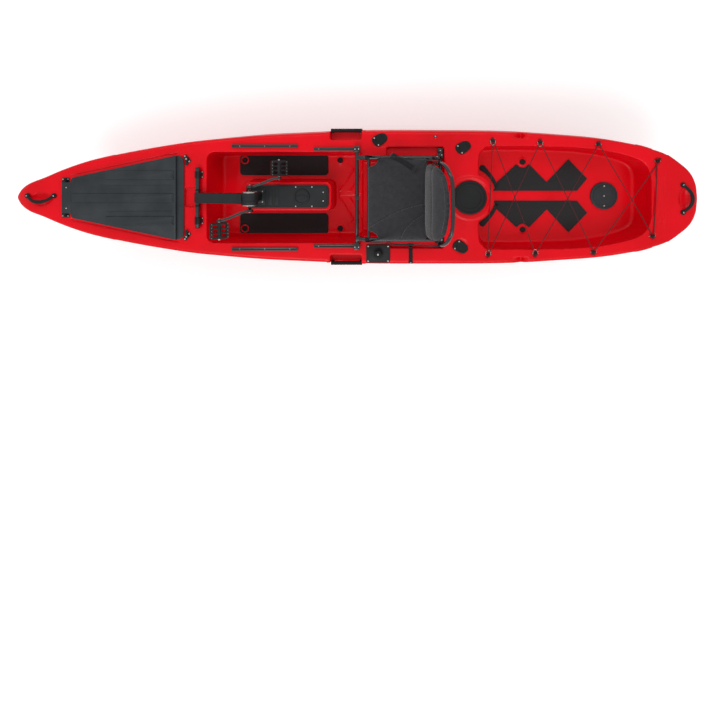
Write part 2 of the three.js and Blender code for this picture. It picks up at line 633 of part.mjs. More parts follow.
// Turn catches behind the lid: the arm lies along the lid's edge and turns over its lip
for (const [name, side] of [['lid_catch_stbd', 1], ['lid_catch_port', -1]]) {
  const x = lidBack + lidCatch.offset;
  const y = side * lidCatch.half;
  const top = deck + gap + lidCatch.height;
  const boss = round('z', [x, y], lidCatch.boss, [deck + gap, top], shaft.sides);
  const reach = [y, y - side * lidCatch.arm].sort((a, b) => a - b);
  const arm = block(around(x, lidCatch.armWidth / 2), reach, [top - lidCatch.armHeight, top]);
  add(name, boss.add(arm), 'plastic');
}

// Cross bar and its clamps
add('drive_cross_bar', round('y', [barX, barZ], bar.radius, around(0, bar.half), bar.sides), 'plastic');
for (const [name, side] of [['bar_clamp_stbd', 1], ['bar_clamp_port', -1]]) {
  const y = side * clamp.half;
  const levels = [deck + gap, barZ + clamp.height / 2];
  const body = block(around(barX, clamp.length / 2), around(y, clamp.width / 2), levels);
  const bore = round('y', [barX, barZ], bar.radius + gap, around(y, clamp.width), bar.sides);
  add(name, body.subtract(bore), 'plastic');
}

// Stay arm: a channel with lightening holes from the bar to the head
const headGap = head.radius + gap;
const stayRise = drive.axle - barZ;
const stayEnd = drive.x - headGap;
const channel = sideSlab([
  [barX, barZ - bar.rise + gap + stay.seat], [stayEnd, drive.axle - stay.nose],
  [stayEnd, drive.axle + stay.brow], [barX, barZ + stay.eye],
], around(0, stay.halfWidth));
const eyeBoss = round('y', [barX, barZ], stay.eye - stay.seat, around(0, stay.halfWidth), bar.sides);
let arm = channel.add(eyeBoss);
const web = [
  [barX + stay.eye, barZ - bar.rise], [stayEnd - stay.rib, drive.axle - stay.nose - overrun],
  [stayEnd - stay.rib, drive.axle + stay.brow - stay.rib], [barX + stay.eye, barZ + stay.eye - stay.rib],
];
arm = arm.subtract(sideSlab(web, around(0, stay.halfWidth - stay.wall)));
arm = arm.subtract(round('y', [barX, barZ], bar.radius + gap, around(0, stay.halfWidth + bond), bar.sides));
for (let i = 0; i < stayHoles.count; i += 1) {
  const along = stayHoles.first + i * (stayHoles.pitch + i * stayHoles.spread);
  const x = barX + along;
  const z = barZ + (stayRise * along) / (stayEnd - barX) - stay.skew - i * stayHoles.drop;
  const radius = stayHoles.radius + i * stayHoles.growth;
  arm = arm.subtract(round('y', [x, z], radius, around(0, hull.beam / 2), stayHoles.sides));
}
arm = arm.subtract(round('y', [drive.x, drive.axle], headGap, around(0, hull.beam / 2), head.sides));
add('stay_arm', arm, 'plastic');

// Drive head: a round gear housing on a column
let housing = round('y', [drive.x, drive.axle], head.radius, around(0, head.half), head.sides);
housing = housing.add(block(
  [drive.x - column.fore, drive.x + column.aft], around(0, head.columnHalf), [coverTop + gap, drive.axle],
));
const gearRoom = around(0, head.half + bond);
housing = housing.subtract(round('y', [drive.x, drive.axle], head.bore, gearRoom, head.sides));
housing = housing.subtract(round('z', [drive.x, 0], shaft.bore, [coverTop - bond, drive.axle], shaft.sides));
add('drive_head', housing, 'plastic');

for (const [name, side] of [['head_cover_stbd', 1], ['head_cover_port', -1]]) {
  const inside = side * (head.half + gap);
  const span = [inside, inside + side * head.coverThick].sort((a, b) => a - b);
  const disc = round('y', [drive.x, drive.axle], head.cover, span, head.sides);
  const bore = round('y', [drive.x, drive.axle], axle.radius + gap, around(inside, head.half), axle.sides);
  add(name, disc.subtract(bore), 'steel');
}

// Bevel gear: teeth on a cone whose point is where the two shafts meet, along +Z of its own frame
function bevelGear({ teeth, mate, module, face, web: webThick }, phase) {
  const pitch = (teeth * module) / 2;
  const matePitch = (mate * module) / 2;
  const cone = Math.hypot(pitch, matePitch);
  const along = [pitch / cone, matePitch / cone];
  const out = [matePitch / cone, -pitch / cone];
  const at = (scale, offset) => [
    (pitch + out[0] * offset) * scale, (matePitch + out[1] * offset) * scale,
  ];
  const small = 1 - face / cone;
  const tipHeight = toothShares.addendum * module;
  const rootHeight = -toothShares.dedendum * module;
  const stepLength = module * Math.PI;
  const bodies = [];
  for (let i = 0; i < teeth; i += 1) {
    const angle = phase + (i * fullTurn) / teeth;
    const [cos, sin] = [Math.cos(angle), Math.sin(angle)];
    const rings = [1, small].map((scale) => {
      const root = at(scale, rootHeight - bond / 2);
      const tip = at(scale, tipHeight);
      const corners = [
        [root, toothShares.width], [tip, toothShares.tip],
        [tip, -toothShares.tip], [root, -toothShares.width],
      ];
      return corners.map(([[r, z], share]) => {
        const side = share * stepLength * scale;
        return vector(r * cos - side * sin, r * sin + side * cos, z);
      });
    });
    bodies.push(loft(rings));
  }
  const [rootBig, rootSmall] = [at(1, rootHeight), at(small, rootHeight)];
  const back = Math.max(rootBig[1], rootSmall[1]) + webThick;
  const blank = turned('z', [0, 0, 0], [
    [0, rootSmall[1]], rootSmall, rootBig, [rootBig[0], back], [0, back],
  ], Math.max(teeth, shaft.sides));
  return { gear: joined([blank, ...bodies]), back };
}

const turnedTo = (body, [rx, ry, rz], [x, y, z]) => {
  const geometry = geometryOf(body);
  geometry.rotateX(rx).rotateY(ry).rotateZ(rz).translate(x, y, z);
  return solid(geometry);
};

// Crank: the axle with its crown gear, and two arms half a turn apart
const axleCentre = [drive.x, drive.axle];
const crown = turnedTo(bevelGear(upperGears, 0).gear, [-Math.PI / 2, 0, 0], [drive.x, 0, drive.axle]);
const axleBar = round('y', axleCentre, axle.radius, around(0, axle.half), axle.sides);
add('crank_axle', axleBar.add(crown), 'steel');

const crankTurn = radians(crank.angle);
const armInner = axle.half + gap;
for (const [name, side] of [['crank_arm_port', -1], ['crank_arm_stbd', 1]]) {
  const start = side * (armInner + crank.thick / 2);
  const dx = side * crank.length * Math.cos(crankTurn);
  const dz = -side * crank.length * Math.sin(crankTurn);
  const end = start + side * crank.out;
  const from = vector(drive.x, start, drive.axle);
  const to = vector(drive.x + dx, end, drive.axle + dz);
  const band = new THREE.Vector3().subVectors(to, from);
  const across = new THREE.Vector3().crossVectors(band, vector(0, 1, 0)).normalize();
  const ring = (centre, width) => [[1, 1], [1, -1], [-1, -1], [-1, 1]].map(([w, t]) => centre.clone()
    .addScaledVector(across, (w * width) / 2).add(vector(0, (t * crank.thick) / 2, 0)));
  const beam = loft([ring(from, crank.width), ring(to, crank.tipWidth)]);
  const boss = round('y', axleCentre, crank.boss, around(start, crank.thick / 2), axle.sides);
  const tipBoss = round('y', [to.x, to.z], crank.tipBoss, around(end, crank.thick / 2), shaft.sides);
  const stub = [end, end + side * (crank.thick / 2 + spindle.length)].sort((a, b) => a - b);
  const pin = round('y', [to.x, to.z], spindle.radius, stub, shaft.sides);
  add(name, joined([beam, boss, tipBoss, pin]), 'plastic');

  // Pedal: an open cage that turns on the spindle
  const pedalInner = end + side * (crank.thick / 2 + crank.clearance);
  const span = [pedalInner, pedalInner + side * pedal.width].sort((a, b) => a - b);
  let cage = block(around(0, pedal.length / 2), span, around(0, pedal.thick / 2));
  const pocketHalf = pedal.length / 2 - pedal.rim;
  const slotWidth = (pedal.width - pedal.rim * 2 - pedal.barWidth * (pedal.slots - 1)) / pedal.slots;
  for (const fore of [-1, 1]) {
    const inside = [fore * pedal.hub, fore * pocketHalf].sort((a, b) => a - b);
    for (let i = 0; i < pedal.slots; i += 1) {
      const low = span[0] + pedal.rim + i * (slotWidth + pedal.barWidth);
      cage = cage.subtract(block(inside, [low, low + slotWidth], around(0, pedal.thick)));
    }
  }
  const spindleRoom = around(pedalInner, pedal.width * 2);
  cage = cage.subtract(round('y', [0, 0], spindle.radius + gap, spindleRoom, shaft.sides));
  const pedalName = side > 0 ? 'pedal_stbd' : 'pedal_port';
  const mesh = add(pedalName, cage, 'plastic');
  mesh.position.set(to.x, 0, to.z);
  mesh.rotation.y = radians(pedal.tilt);
}

// Well cover under the head, with a round cap moulded on it
const coverFront = wellFront - well.reach;
const coverBack = wellBack + cover.lip;
let lidPlate = slab(
  rectangle(coverFront, coverBack, cover.halfWidth, cover.corner), [consoleBox.top + gap, coverTop],
);
const capX = coverBack - cover.capInset;
const capTop = coverTop + cover.capHeight;
lidPlate = lidPlate.add(round('z', [capX, 0], cover.cap, [coverTop - bond, capTop], head.sides));
const capDish = [coverTop, capTop + bond];
lidPlate = lidPlate.subtract(round('z', [capX, 0], cover.cap - cover.capRing, capDish, head.sides));
lidPlate = lidPlate.subtract(round('z', [drive.x, 0], shaft.bore, [0, ceiling], shaft.sides));
add('well_cover', lidPlate, 'plastic');

// Leg: a streamlined strut, a round gear case and the skeg below it
const legCurve = new THREE.SplineCurve(legShares.map(([along, out]) => new THREE.Vector2(
  along * (along < 0 ? leg.fore : leg.aft), -out * leg.thick,
)));
const legOutline = legCurve.getPoints(cornerSteps * 3).map(({ x, y }) => [drive.x + x, y]);
const strutOutline = [...legOutline, ...legOutline.slice(1, -1).map(([x, y]) => [x, -y]).reverse()];
const caseProfile = caseShares.map(([along, out]) => [
  out * legCase.radius, along * (along < 0 ? legCase.nose : legCase.tail),
]);
caseProfile.push([legCase.tailRadius, legCase.tail], [0, legCase.tail]);
const caseCentre = [drive.x, 0, propZ];
const skegOutline = skegShares.map(([along, down]) => [
  drive.x + along * skeg.chord, propZ - down * skeg.depth,
]).reverse();
let lowerLeg = joined([
  slab(strutOutline, [propZ, consoleBox.top]),
  turned('x', caseCentre, caseProfile, legCase.sides),
  sideSlab(skegOutline, around(0, skeg.thick / 2)),
]);
const chamber = legCase.radius - legCase.wall;
const chamberProfile = chamberShares.map(([along, out]) => [out * chamber, along * chamber]);
lowerLeg = lowerLeg.subtract(turned('x', caseCentre, chamberProfile, legCase.sides));
const tailBore = [drive.x, drive.x + leg.drop];
lowerLeg = lowerLeg.subtract(round('x', [0, propZ], legCase.bore, tailBore, shaft.sides));
lowerLeg = lowerLeg.subtract(round('z', [drive.x, 0], shaft.bore, [propZ, ceiling], shaft.sides));
add('drive_leg', lowerLeg, 'plastic');

// Upright shaft with its pinion above and its bevel gear below, and the propeller shaft with its pinion
const upperMate = { ...upperGears, teeth: upperGears.mate, mate: upperGears.teeth };
const lowerMate = { ...lowerGears, teeth: lowerGears.mate, mate: lowerGears.teeth };
const topPinion = bevelGear(upperMate, Math.PI / upperGears.mate);
const bottomGear = bevelGear(lowerGears, 0);
const propPinion = bevelGear(lowerMate, Math.PI / lowerGears.mate);
const shaftTop = drive.axle - topPinion.back;
const shaftFoot = propZ + bottomGear.back - bond;
add('drive_shaft', joined([
  round('z', [drive.x, 0], shaft.radius, [shaftFoot, shaftTop + bond], shaft.sides),
  turnedTo(topPinion.gear, [Math.PI, 0, 0], [drive.x, 0, drive.axle]),
  turnedTo(bottomGear.gear, [0, 0, 0], caseCentre),
]), 'steel');
const hubStart = drive.x + legCase.tail + gap;
const hubEnd = hubStart + propeller.hubLength;
const shaftEnds = [drive.x + propPinion.back - bond, hubEnd - propeller.hub / 2];
const propShaft = round('x', [0, propZ], shaft.radius, shaftEnds, shaft.sides);
add('propeller_shaft', propShaft.add(turnedTo(propPinion.gear, [0, Math.PI / 2, 0], caseCentre)), 'steel');

// Propeller: a hub with two twisted blades, parked upright
let screw = turned('x', [hubStart, 0, propZ], hubShares.map(([along, out]) => [
  out * propeller.hub, along * propeller.hubLength,
]), bar.sides);
const bladeX = hubStart + propeller.hubLength * bladeSeatShare;
for (let b = 0; b < propeller.blades; b += 1) {
  const turn = (b * fullTurn) / propeller.blades;
  const rings = bladeShares.map(([out, chordShare, twistShare]) => {
    const reach = out * propeller.radius;
    const chord = lerp(propeller.root, propeller.tip, out) * chordShare;
    const twist = radians(propeller.pitch) * twistShare;
    const thick = lerp(propeller.thick, propeller.tipThick, out);
    return bladeSectionShares.map(([c, t]) => {
      const x = c * chord * Math.sin(twist) + t * thick * Math.cos(twist);
      const y = c * chord * Math.cos(twist) - t * thick * Math.sin(twist);
      const [cos, sin] = [Math.cos(turn), Math.sin(turn)];
      return vector(bladeX + x, y * cos - reach * sin, propZ + y * sin + reach * cos);
    });
  });
  screw = screw.add(loft(rings));
}
const hubBore = [hubStart - bond, hubEnd - propeller.hub / 2 + gap];
screw = screw.subtract(round('x', [0, propZ], shaft.radius + gap, hubBore, shaft.sides));
add('propeller', screw, 'plastic');

// Foot mats with a round gap over each scupper
for (const [name, side] of [['foot_mat_stbd', 1], ['foot_mat_port', -1]]) {
  const outer = cockpitHalf - footMat.wallGap;
  const middle = (side * (footMat.inner + outer)) / 2;
  const outline = rectangle(
    footMat.back - footMat.length, footMat.back, (outer - footMat.inner) / 2, footMat.corner, middle,
  );
  const level = cockpit.floor + gap;
  const [drainX, drainY] = scupperPlaces[0];
  const hole = round('z', [drainX, side * drainY], scupper.radius * 2, [0, deck], bar.sides);
  add(name, slab(outline, [level, level + footMat.thick]).subtract(hole), 'rubber');
}

// Tracks on the side decks
function trackPiece(front, length, middle) {
  const level = deck + gap;
  const top = level + track.height;
  const body = block([front, front + length], around(middle, track.width / 2), [level, top]);
  const run = [front - bond, front + length + bond];
  return body.subtract(block(run, around(middle, track.groove / 2), [top - track.grooveDepth, top + bond]));
}
for (const [side, sign] of [['stbd', 1], ['port', -1]]) {
  add(`gear_track_${side}`, trackPiece(gearTrack.front, gearTrack.length, sign * gearTrackHalf), 'plastic');
  add(`seat_rail_${side}`, trackPiece(rail.front, rail.length, sign * railHalf), 'plastic');
}

// Side plate with its turn knob
const plateLevel = deckAt(plate.x) - plate.sunk + gap;
const plateTop = plateLevel + plate.thick;
const [plateFront, plateBack] = around(plate.x, plate.length / 2);
const plateBody = slab(
  rectangle(plateFront, plateBack, plate.width / 2, plate.bossHeight, -plateHalf), [plateLevel, plateTop],
);
const bossLevels = [plateTop - bond, plateTop + plate.bossHeight];
const plateBoss = round('z', [plate.x, -plateHalf], plate.boss, bossLevels, bar.sides);
add('side_plate', plateBody.add(plateBoss), 'plastic');
const knobOutline = circle(1, knob.sides).map(([x, y], i) => {
  const radius = knob.radius - knob.depth * (1 - Math.cos((i * knob.lobes * fullTurn) / knob.sides)) / 2;
  return [plate.x + x * radius, -plateHalf + y * radius];
});
const knobLevel = plateTop + plate.bossHeight + gap;
add('turn_knob', slab(knobOutline, [knobLevel, knobLevel + knob.height]), 'rubber');

// Rod hole caps: an oval flange with a leaning plug
const capNames = {
  stbdFront: 'rod_cap_stbd_front', stbdBack: 'rod_cap_stbd_back', portBack: 'rod_cap_port_back',
};
for (const [place, [x, y]] of Object.entries(rodPlaces)) {
  const level = deckAt(x) - rodHole.sunk + gap;
  const oval = circle(1, rodCap.sides).map(([a, b]) => [
    x + (a * rodCap.length) / 2, y + (b * rodCap.width) / 2,
  ]);
  const plug = rodTube([x, y], rodCap.plug, rodCap.plugDepth, 0);
  const flange = slab(oval, [level, level + rodCap.thick]);
  const core = round('z', [x, y], rodCap.plug / 2, [level - rodCap.plugDepth / 2, level + bond], shaft.sides);
  add(capNames[place], joined([flange, plug, core]), 'plastic');
}

// Carry grips at bow and stern: an arched rubber bar between two feet
function grip(name, places, bulge, level) {
  const [a, b] = places.map(([x, y]) => vector(x, y, level + gap + endGrip.footHeight / 2));
  const middle = a.clone().lerp(b, 0.5).add(bulge);
  const swell = bulge.clone().multiplyScalar(endGrip.swellShare);
  const quarter = (end) => end.clone().lerp(middle, 0.5).add(swell);
  const route = smooth([a, quarter(a), middle, quarter(b), b], endGrip.steps);
  const footLevels = [level + gap, level + gap + endGrip.footHeight];
  const feet = places.map((place) => round('z', place, endGrip.foot, footLevels, shaft.sides));
  add(name, joined([pipe(route, endGrip.radius, endGrip.sides), ...feet])
    .subtract(block([-half, half], around(0, hull.beam), [0, level + gap])), 'rubber');
}
const bowGripEnds = around(bowGrip.setback - half, endGrip.length / 2);
grip('bow_grip', bowGripEnds.map((x) => [x, bowGrip.y]), vector(0, -bowGrip.bulge, bowGrip.rise), deck);
const sternGripX = half - sternGrip.setback;
const sternLevel = deckAt(sternGripX + endGrip.foot);
const sternGripEnds = around(0, endGrip.length / 2);
const sternBulge = vector(sternGrip.bulge, 0, sternGrip.rise);
grip('stern_grip', sternGripEnds.map((y) => [sternGripX, y]), sternBulge, sternLevel);

// Side grips: a bar across each gunwale notch on two feet
for (const [name, side] of [['side_grip_stbd', 1], ['side_grip_port', -1]]) {
  const y = side * (notchInner + sideGrip.out);
  const z = notch.floor + sideGrip.rise;
  const ends = [notch.front + gap, notch.front + notch.length - gap];
  const gripBar = round('x', [y, z], sideGrip.radius, ends, sideGrip.sides);
  const lugs = ends.map((x, i) => {
    const inward = i === 0 ? x + sideGrip.foot : x - sideGrip.foot;
    return block([x, inward].sort((a, b) => a - b), around(y, sideGrip.radius), [notch.floor + gap, z]);
  });
  add(name, joined([gripBar, ...lugs]), 'rubber');
}

// Round hatch lids with a raised finger bar
function hatchLid(name, x, level, { lid: radius, thick, spigot, wall, hole, sides }) {
  const base = level + gap;
  const neck = hole - gap * 3;
  let body = round('z', [x, 0], radius, [base, base + thick], sides);
  body = body.add(round('z', [x, 0], neck, [base - spigot, base + bond], sides));
  body = body.subtract(round('z', [x, 0], neck - wall, [base - spigot - bond, base + thick - wall], sides));
  const barLevels = [base + thick - bond, base + thick + turnGrip.height];
  const fingerBar = block(around(x, turnGrip.length / 2), around(0, turnGrip.width / 2), barLevels);
  add(name, body.add(fingerBar), 'rubber');
}
hatchLid('mid_hatch_lid', islandX, deckAt(islandX) - midHatch.sunk, midHatch);
hatchLid('stern_hatch_lid', sternHatchX, tank.floor, sternHatch);

// Deck mats: a zigzag edge outboard and a straight edge inboard
for (const [name, side] of [['deck_mat_stbd', 1], ['deck_mat_port', -1]]) {
  const outline = deckMatShares.map(([along, across]) => [
    lerp(matFront, matBack, along), side * lerp(deckMat.inner, tankHalf - deckMat.wallGap, across),
  ]);
  if (side < 0) outline.reverse();
  const level = tank.floor + gap;
  const drainX = lerp(matFront, matBack, tankScupper.matShare);
  const ring = round('z', [drainX, side * tankScupperHalf], scupper.radius * 3, [0, deck], bar.sides);
  add(name, slab(outline, [level, level + deckMat.thick]).subtract(ring), 'rubber');
}

// Pad eyes on the tank well rails
eyeList.forEach(({ name, x, y, z }) => {
  const level = z + gap;
  const top = level + eye.base;
  const foot = rectangle(x - eye.length / 2, x + eye.length / 2, eye.width / 2, eye.width / 3, y);
  const base = slab(foot, [level, top]);
  const arch = round('y', [x, top], eye.hole + eye.rim, around(y, eye.thick / 2), eye.sides)
    .subtract(round('y', [x, top], eye.hole, around(y, eye.thick), eye.sides))
    .subtract(block(around(x, eye.length), around(y, eye.width), [0, top - bond]));
  add(name, base.add(arch), 'plastic');
});

// Bungee: one cord laced from side to side through the eyes, its return runs lifted over the first ones
const lacing = [
  'port_1', 'stbd_1', 'port_2', 'stbd_3', 'port_4', 'stbd_4', 'port_3', 'stbd_2', 'port_1',
].map((key) => eyeList.find(({ name }) => name.endsWith(key)));
const cordRoute = [];
lacing.forEach((place, i) => {
  const first = i === 0;
  const last = i === lacing.length - 1;
  const before = first ? { x: place.x + bond } : lacing[i - 1];
  const after = last ? { x: place.x - bond } : lacing[i + 1];
  const into = first ? 1 : Math.sign(before.x - after.x);
  const lane = (last ? 1 : into) * bungee.lane;
  const outward = Math.sign(place.y);
  const level = place.z + gap + eye.base + bungee.height;
  const at = (dx, dy) => vector(place.x + dx, place.y + outward * dy, level);
  const side = eye.thick;
  if (!first) cordRoute.push(at(lane, -side), at(lane, side));
  if (!first && !last) {
    for (let k = 1; k < bungee.steps; k += 1) {
      const angle = (k * Math.PI) / bungee.steps;
      cordRoute.push(at(lane * Math.cos(angle), side + bungee.turn * Math.sin(angle)));
    }
  }
  if (!last) {
    cordRoute.push(at(-lane, side), at(-lane, -side));
    const next = lacing[i + 1];
    const nextLevel = next.z + gap + eye.base + bungee.height;
    const lift = i >= lacing.length / 2 ? bungee.lift : 0;
    cordRoute.push(vector(
      (place.x - lane + next.x) / 2, (place.y + next.y) / 2, (level + nextLevel) / 2 + lift,
    ));
  }
});
add('deck_bungee', pipe(cordRoute, bungee.radius, bungee.sides), 'rubber');

// Seat cross bar on its two sliders
const sliderLevels = [railTop + gap, railTop + gap + slider.height];
const sliders = [1, -1].map((side) => block(
  around(seat.barX, slider.length / 2), around(side * railHalf, slider.width / 2), sliderLevels,
));
const barSpan = around(0, railHalf + seatBar.reach);
const seatTube = round('y', [seat.barX, seatBarZ], seatBar.radius, barSpan, seatBar.sides);
add('seat_cross_bar', joined([seatTube, ...sliders]), 'tube');

// Seat frame: two bent side tubes on feet, two cross tubes and the backrest pins
const saddleLevel = seatBarZ + seatBar.radius + gap;
const saddleTop = saddleLevel + saddle.height;
const footLevel = deck - ledge.drop + gap;
const sideTube = (y) => {
  const rising = (from) => ([along, up]) => vector(
    lerp(seat.barX, seatFoot.x, along), y, lerp(from, seatZ, up),
  );
  const points = [
    ...sidePathShares.map(rising(footLevel + seatFoot.height)),
    ...frontPathShares.map(rising(saddleTop + seat.tube / 4)),
  ];
  points[0].z = footLevel + seatFoot.height / 2;
  return pipe(smooth(points, cornerSteps * 3), seat.tube, seat.sides);
};
const frameParts = [];
for (const side of [1, -1]) {
  const y = side * seatHalf;
  frameParts.push(sideTube(y));
  frameParts.push(block(
    around(seatFoot.x, seatFoot.length / 2), around(side * seatFootHalf, seatFoot.width / 2),
    [footLevel, footLevel + seatFoot.height],
  ));
  const saddleRun = around(seat.barX + seat.tube, saddle.length / 2);
  frameParts.push(block(saddleRun, around(y, seat.tube), [saddleLevel, saddleTop]));
  const lug = sideSlab([
    [backrest.x - backrest.eye * 2, seatZ - seat.tube / 2],
    [backrest.x + backrest.eye, seatZ - seat.tube * 2],
    [backrest.x + backrest.eye, pivotZ + backrest.eye / 2],
    [backrest.x - backrest.eye, pivotZ + backrest.eye / 2],
  ], around(y, seat.tube / 2));
  frameParts.push(lug);
  const pin = [y, side * (backrestHalf - backrest.eyeThick / 2)].sort((a, b) => a - b);
  frameParts.push(round('y', [backrest.x, pivotZ], backrest.pin, pin, shaft.sides));
}
for (const x of [crossTubes.front, crossTubes.back]) {
  frameParts.push(round('y', [x, seatZ], seat.crossTube, around(0, seatHalf), seat.sides));
}
const rearEnds = around(0, seatFootHalf + seatFoot.width / 2 + seatFoot.reach);
const rearPlace = [seatFoot.x, footLevel + seatFoot.height / 2];
frameParts.push(round('y', rearPlace, seat.crossTube, rearEnds, seat.sides));
add('seat_frame', joined(frameParts), 'tube');

// Seat pad: crowned across and along, drawn in at its sides, with cut front corners and two seams
const padBase = seatZ + seat.tube + pad.rest;
const padRow = (along, top) => {
  const x = lerp(pad.front, pad.back, along);
  const cutBack = Math.max(0, pad.cut - (x - pad.front));
  const width = (seatHalf + pad.lap) - cutBack * padShares.cut;
  const risen = Math.min(Math.max(along, padShares.rise), 1 - padShares.rise);
  const points = [];
  for (let c = 0; c <= pad.cols; c += 1) {
    const across = (c / pad.cols) * 2 - 1;
    const crown = pad.crown * (1 - across ** 4) * Math.sin(Math.PI * risen);
    const seamAt = Math.abs(Math.abs(across) - lerp(padShares.seamFront, padShares.seamBack, along));
    const seam = seamAt < 1 / pad.cols ? pad.seam : 0;
    points.push(vector(x, width * across, top ? padBase + pad.thick - pad.crown + crown - seam : padBase));
  }
  return points;
};
function padBody() {
  const rings = [];
  for (let r = 0; r <= pad.rows; r += 1) {
    const along = r / pad.rows;
    rings.push([...padRow(along, true), ...padRow(along, false).reverse()]);
  }
  return loft(rings);
}
add('seat_pad', padBody(), 'fabric');

// Backrest frame: one bent tube from pivot to pivot, with an eye at each foot
const backLine = (y) => backPath.map(([x, z]) => vector(backrest.x + x, y, pivotZ + z));
const topOut = backrestHalf - backrest.corner;
const rise = backPath[backPath.length - 1];
const crest = vector(backrest.x + rise[0] + backrest.tube, 0, pivotZ + rise[1] + backrest.crown);
const backRoute = smooth([
  ...backLine(backrestHalf), crest.clone().setY(topOut), crest.clone(), crest.clone().setY(-topOut),
  ...backLine(-backrestHalf).reverse(),
], cornerSteps * 7);
const backParts = [pipe(backRoute, backrest.tube, seat.sides)];
for (const side of [1, -1]) {
  const span = around(side * backrestHalf, backrest.eyeThick / 2 - bond);
  backParts.push(round('y', [backrest.x, pivotZ], backrest.eye, span, bar.sides));
}
let backFrame = joined(backParts);
for (const side of [1, -1]) {
  const bore = around(side * backrestHalf, backrest.eyeThick);
  backFrame = backFrame.subtract(round(
    'y', [backrest.x, pivotZ], backrest.pin + gap, bore, shaft.sides,
  ));
}
add('backrest_frame', backFrame, 'tube');

// Backrest panel: a curved pad whose edges lie on the fronts of the tubes
const backCurve = new THREE.SplineCurve(backPath.map(([x, z]) => new THREE.Vector2(x, z)));
const bellyCurve = new THREE.SplineCurve(bellyShares.map(([up, out]) => new THREE.Vector2(up, out)));
function panelBody() {
  const rings = [];
  for (let r = 0; r <= panel.rows; r += 1) {
    const up = r / panel.rows;
    const z = lerp(panel.bottom, panel.top, up);
    const line = backCurve.getPoint(Math.min(1, z / rise[1]));
    const belly = bellyCurve.getPoint(up).y * panel.lean;
    const front = [];
    const back = [];
    for (let c = 0; c <= panel.cols; c += 1) {
      const across = (c / panel.cols) * 2 - 1;
      const out = 1 - across ** 2 * panelShares.flat;
      const x = backrest.x + line.x - backrest.tube - panel.clearance;
      const y = across * (backrestHalf - panel.inset) * (1 - panelShares.taper * up);
      const level = pivotZ + z;
      front.push(vector(x - belly * out - panel.thick * (1 - across ** 6 * panelShares.edge), y, level));
      back.push(vector(x - belly * (1 - across ** 4) * panelShares.back, y, level));
    }
    rings.push([...front, ...back.reverse()]);
  }
  return loft(rings);
}
add('backrest_panel', panelBody(), 'fabric');

// Side straps from the backrest to the seat front, each with a buckle
const strapTop = backCurve.getPoint(strap.top / rise[1]);
for (const [name, side] of [['seat_strap_stbd', 1], ['seat_strap_port', -1]]) {
  const outTop = side * (backrestHalf + backrest.tube + strap.thick / 2 + strap.clearance);
  const outFoot = side * (seatHalf + seat.tube + strap.thick / 2 + strap.clearance);
  const from = vector(backrest.x + strapTop.x - backrest.tube / 2, outTop, pivotZ + strap.top);
  const to = vector(strap.frontX, outFoot, seatZ - seat.tube / 2);
  const run = new THREE.Vector3().subVectors(to, from).normalize();
  const across = new THREE.Vector3().crossVectors(run, vector(0, 1, 0)).normalize();
  const ring = (centre, width, thick) => [[1, 1], [1, -1], [-1, -1], [-1, 1]].map(([w, t]) => centre.clone()
    .addScaledVector(across, (w * width) / 2).add(vector(0, (t * thick) / 2, 0)));
  const band = loft([ring(from, strap.width, strap.thick), ring(to, strap.width, strap.thick)]);
  const mid = from.clone().lerp(to, strap.buckleShare);
  const halfBuckle = run.clone().multiplyScalar(strap.buckle / 2);
  const buckle = loft([
    ring(mid.clone().sub(halfBuckle), strap.buckleWidth, strap.buckleThick),
    ring(mid.clone().add(halfBuckle), strap.buckleWidth, strap.buckleThick),
  ]);
  add(name, band.add(buckle), 'fabric');
}

export default kayak;
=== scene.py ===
import json
from math import copysign, cos, exp, hypot, pi, radians, sin, sqrt

import bpy
import numpy as np
from mathutils import Matrix, Vector

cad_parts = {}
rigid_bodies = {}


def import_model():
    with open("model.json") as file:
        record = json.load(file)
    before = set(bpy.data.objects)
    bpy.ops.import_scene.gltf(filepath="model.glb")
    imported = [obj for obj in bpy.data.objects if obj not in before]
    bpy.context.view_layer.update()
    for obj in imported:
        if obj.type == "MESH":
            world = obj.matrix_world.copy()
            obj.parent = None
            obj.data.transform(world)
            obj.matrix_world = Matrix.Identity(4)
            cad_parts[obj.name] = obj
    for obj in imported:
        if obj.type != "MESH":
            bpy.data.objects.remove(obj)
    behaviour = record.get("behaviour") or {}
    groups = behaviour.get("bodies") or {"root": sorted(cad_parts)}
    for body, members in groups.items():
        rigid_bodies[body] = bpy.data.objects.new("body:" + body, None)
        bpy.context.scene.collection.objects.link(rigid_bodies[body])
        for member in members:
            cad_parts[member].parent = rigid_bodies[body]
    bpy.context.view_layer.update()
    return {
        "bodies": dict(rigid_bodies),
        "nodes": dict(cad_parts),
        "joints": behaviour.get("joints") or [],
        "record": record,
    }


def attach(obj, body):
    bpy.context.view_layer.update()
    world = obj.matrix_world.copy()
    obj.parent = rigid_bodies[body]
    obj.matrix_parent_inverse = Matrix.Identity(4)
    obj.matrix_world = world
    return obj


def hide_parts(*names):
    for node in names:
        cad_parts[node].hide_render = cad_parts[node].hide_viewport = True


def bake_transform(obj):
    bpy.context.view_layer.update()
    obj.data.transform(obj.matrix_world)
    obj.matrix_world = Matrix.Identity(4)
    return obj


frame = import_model()

# Sizes are metres: +X to the stern, +Y to starboard, +Z up, the origin on the flat bottom amidships
deckLevel = 0.325
fit = 0.0003                       # the small gap between pieces that touch
bothSides = (("stbd", 1), ("port", -1))
white = (1, 1, 1, 1)


# Node helpers, for materials and for the surround
def startFinish(name, colour, roughness, metallic=0.0):
    finish = bpy.data.materials.new(name)
    finish.use_nodes = True
    shader = finish.node_tree.nodes["Principled BSDF"]
    shader.inputs["Base Color"].default_value = (*colour, 1)
    shader.inputs["Roughness"].default_value = roughness
    shader.inputs["Metallic"].default_value = metallic
    return finish, shader


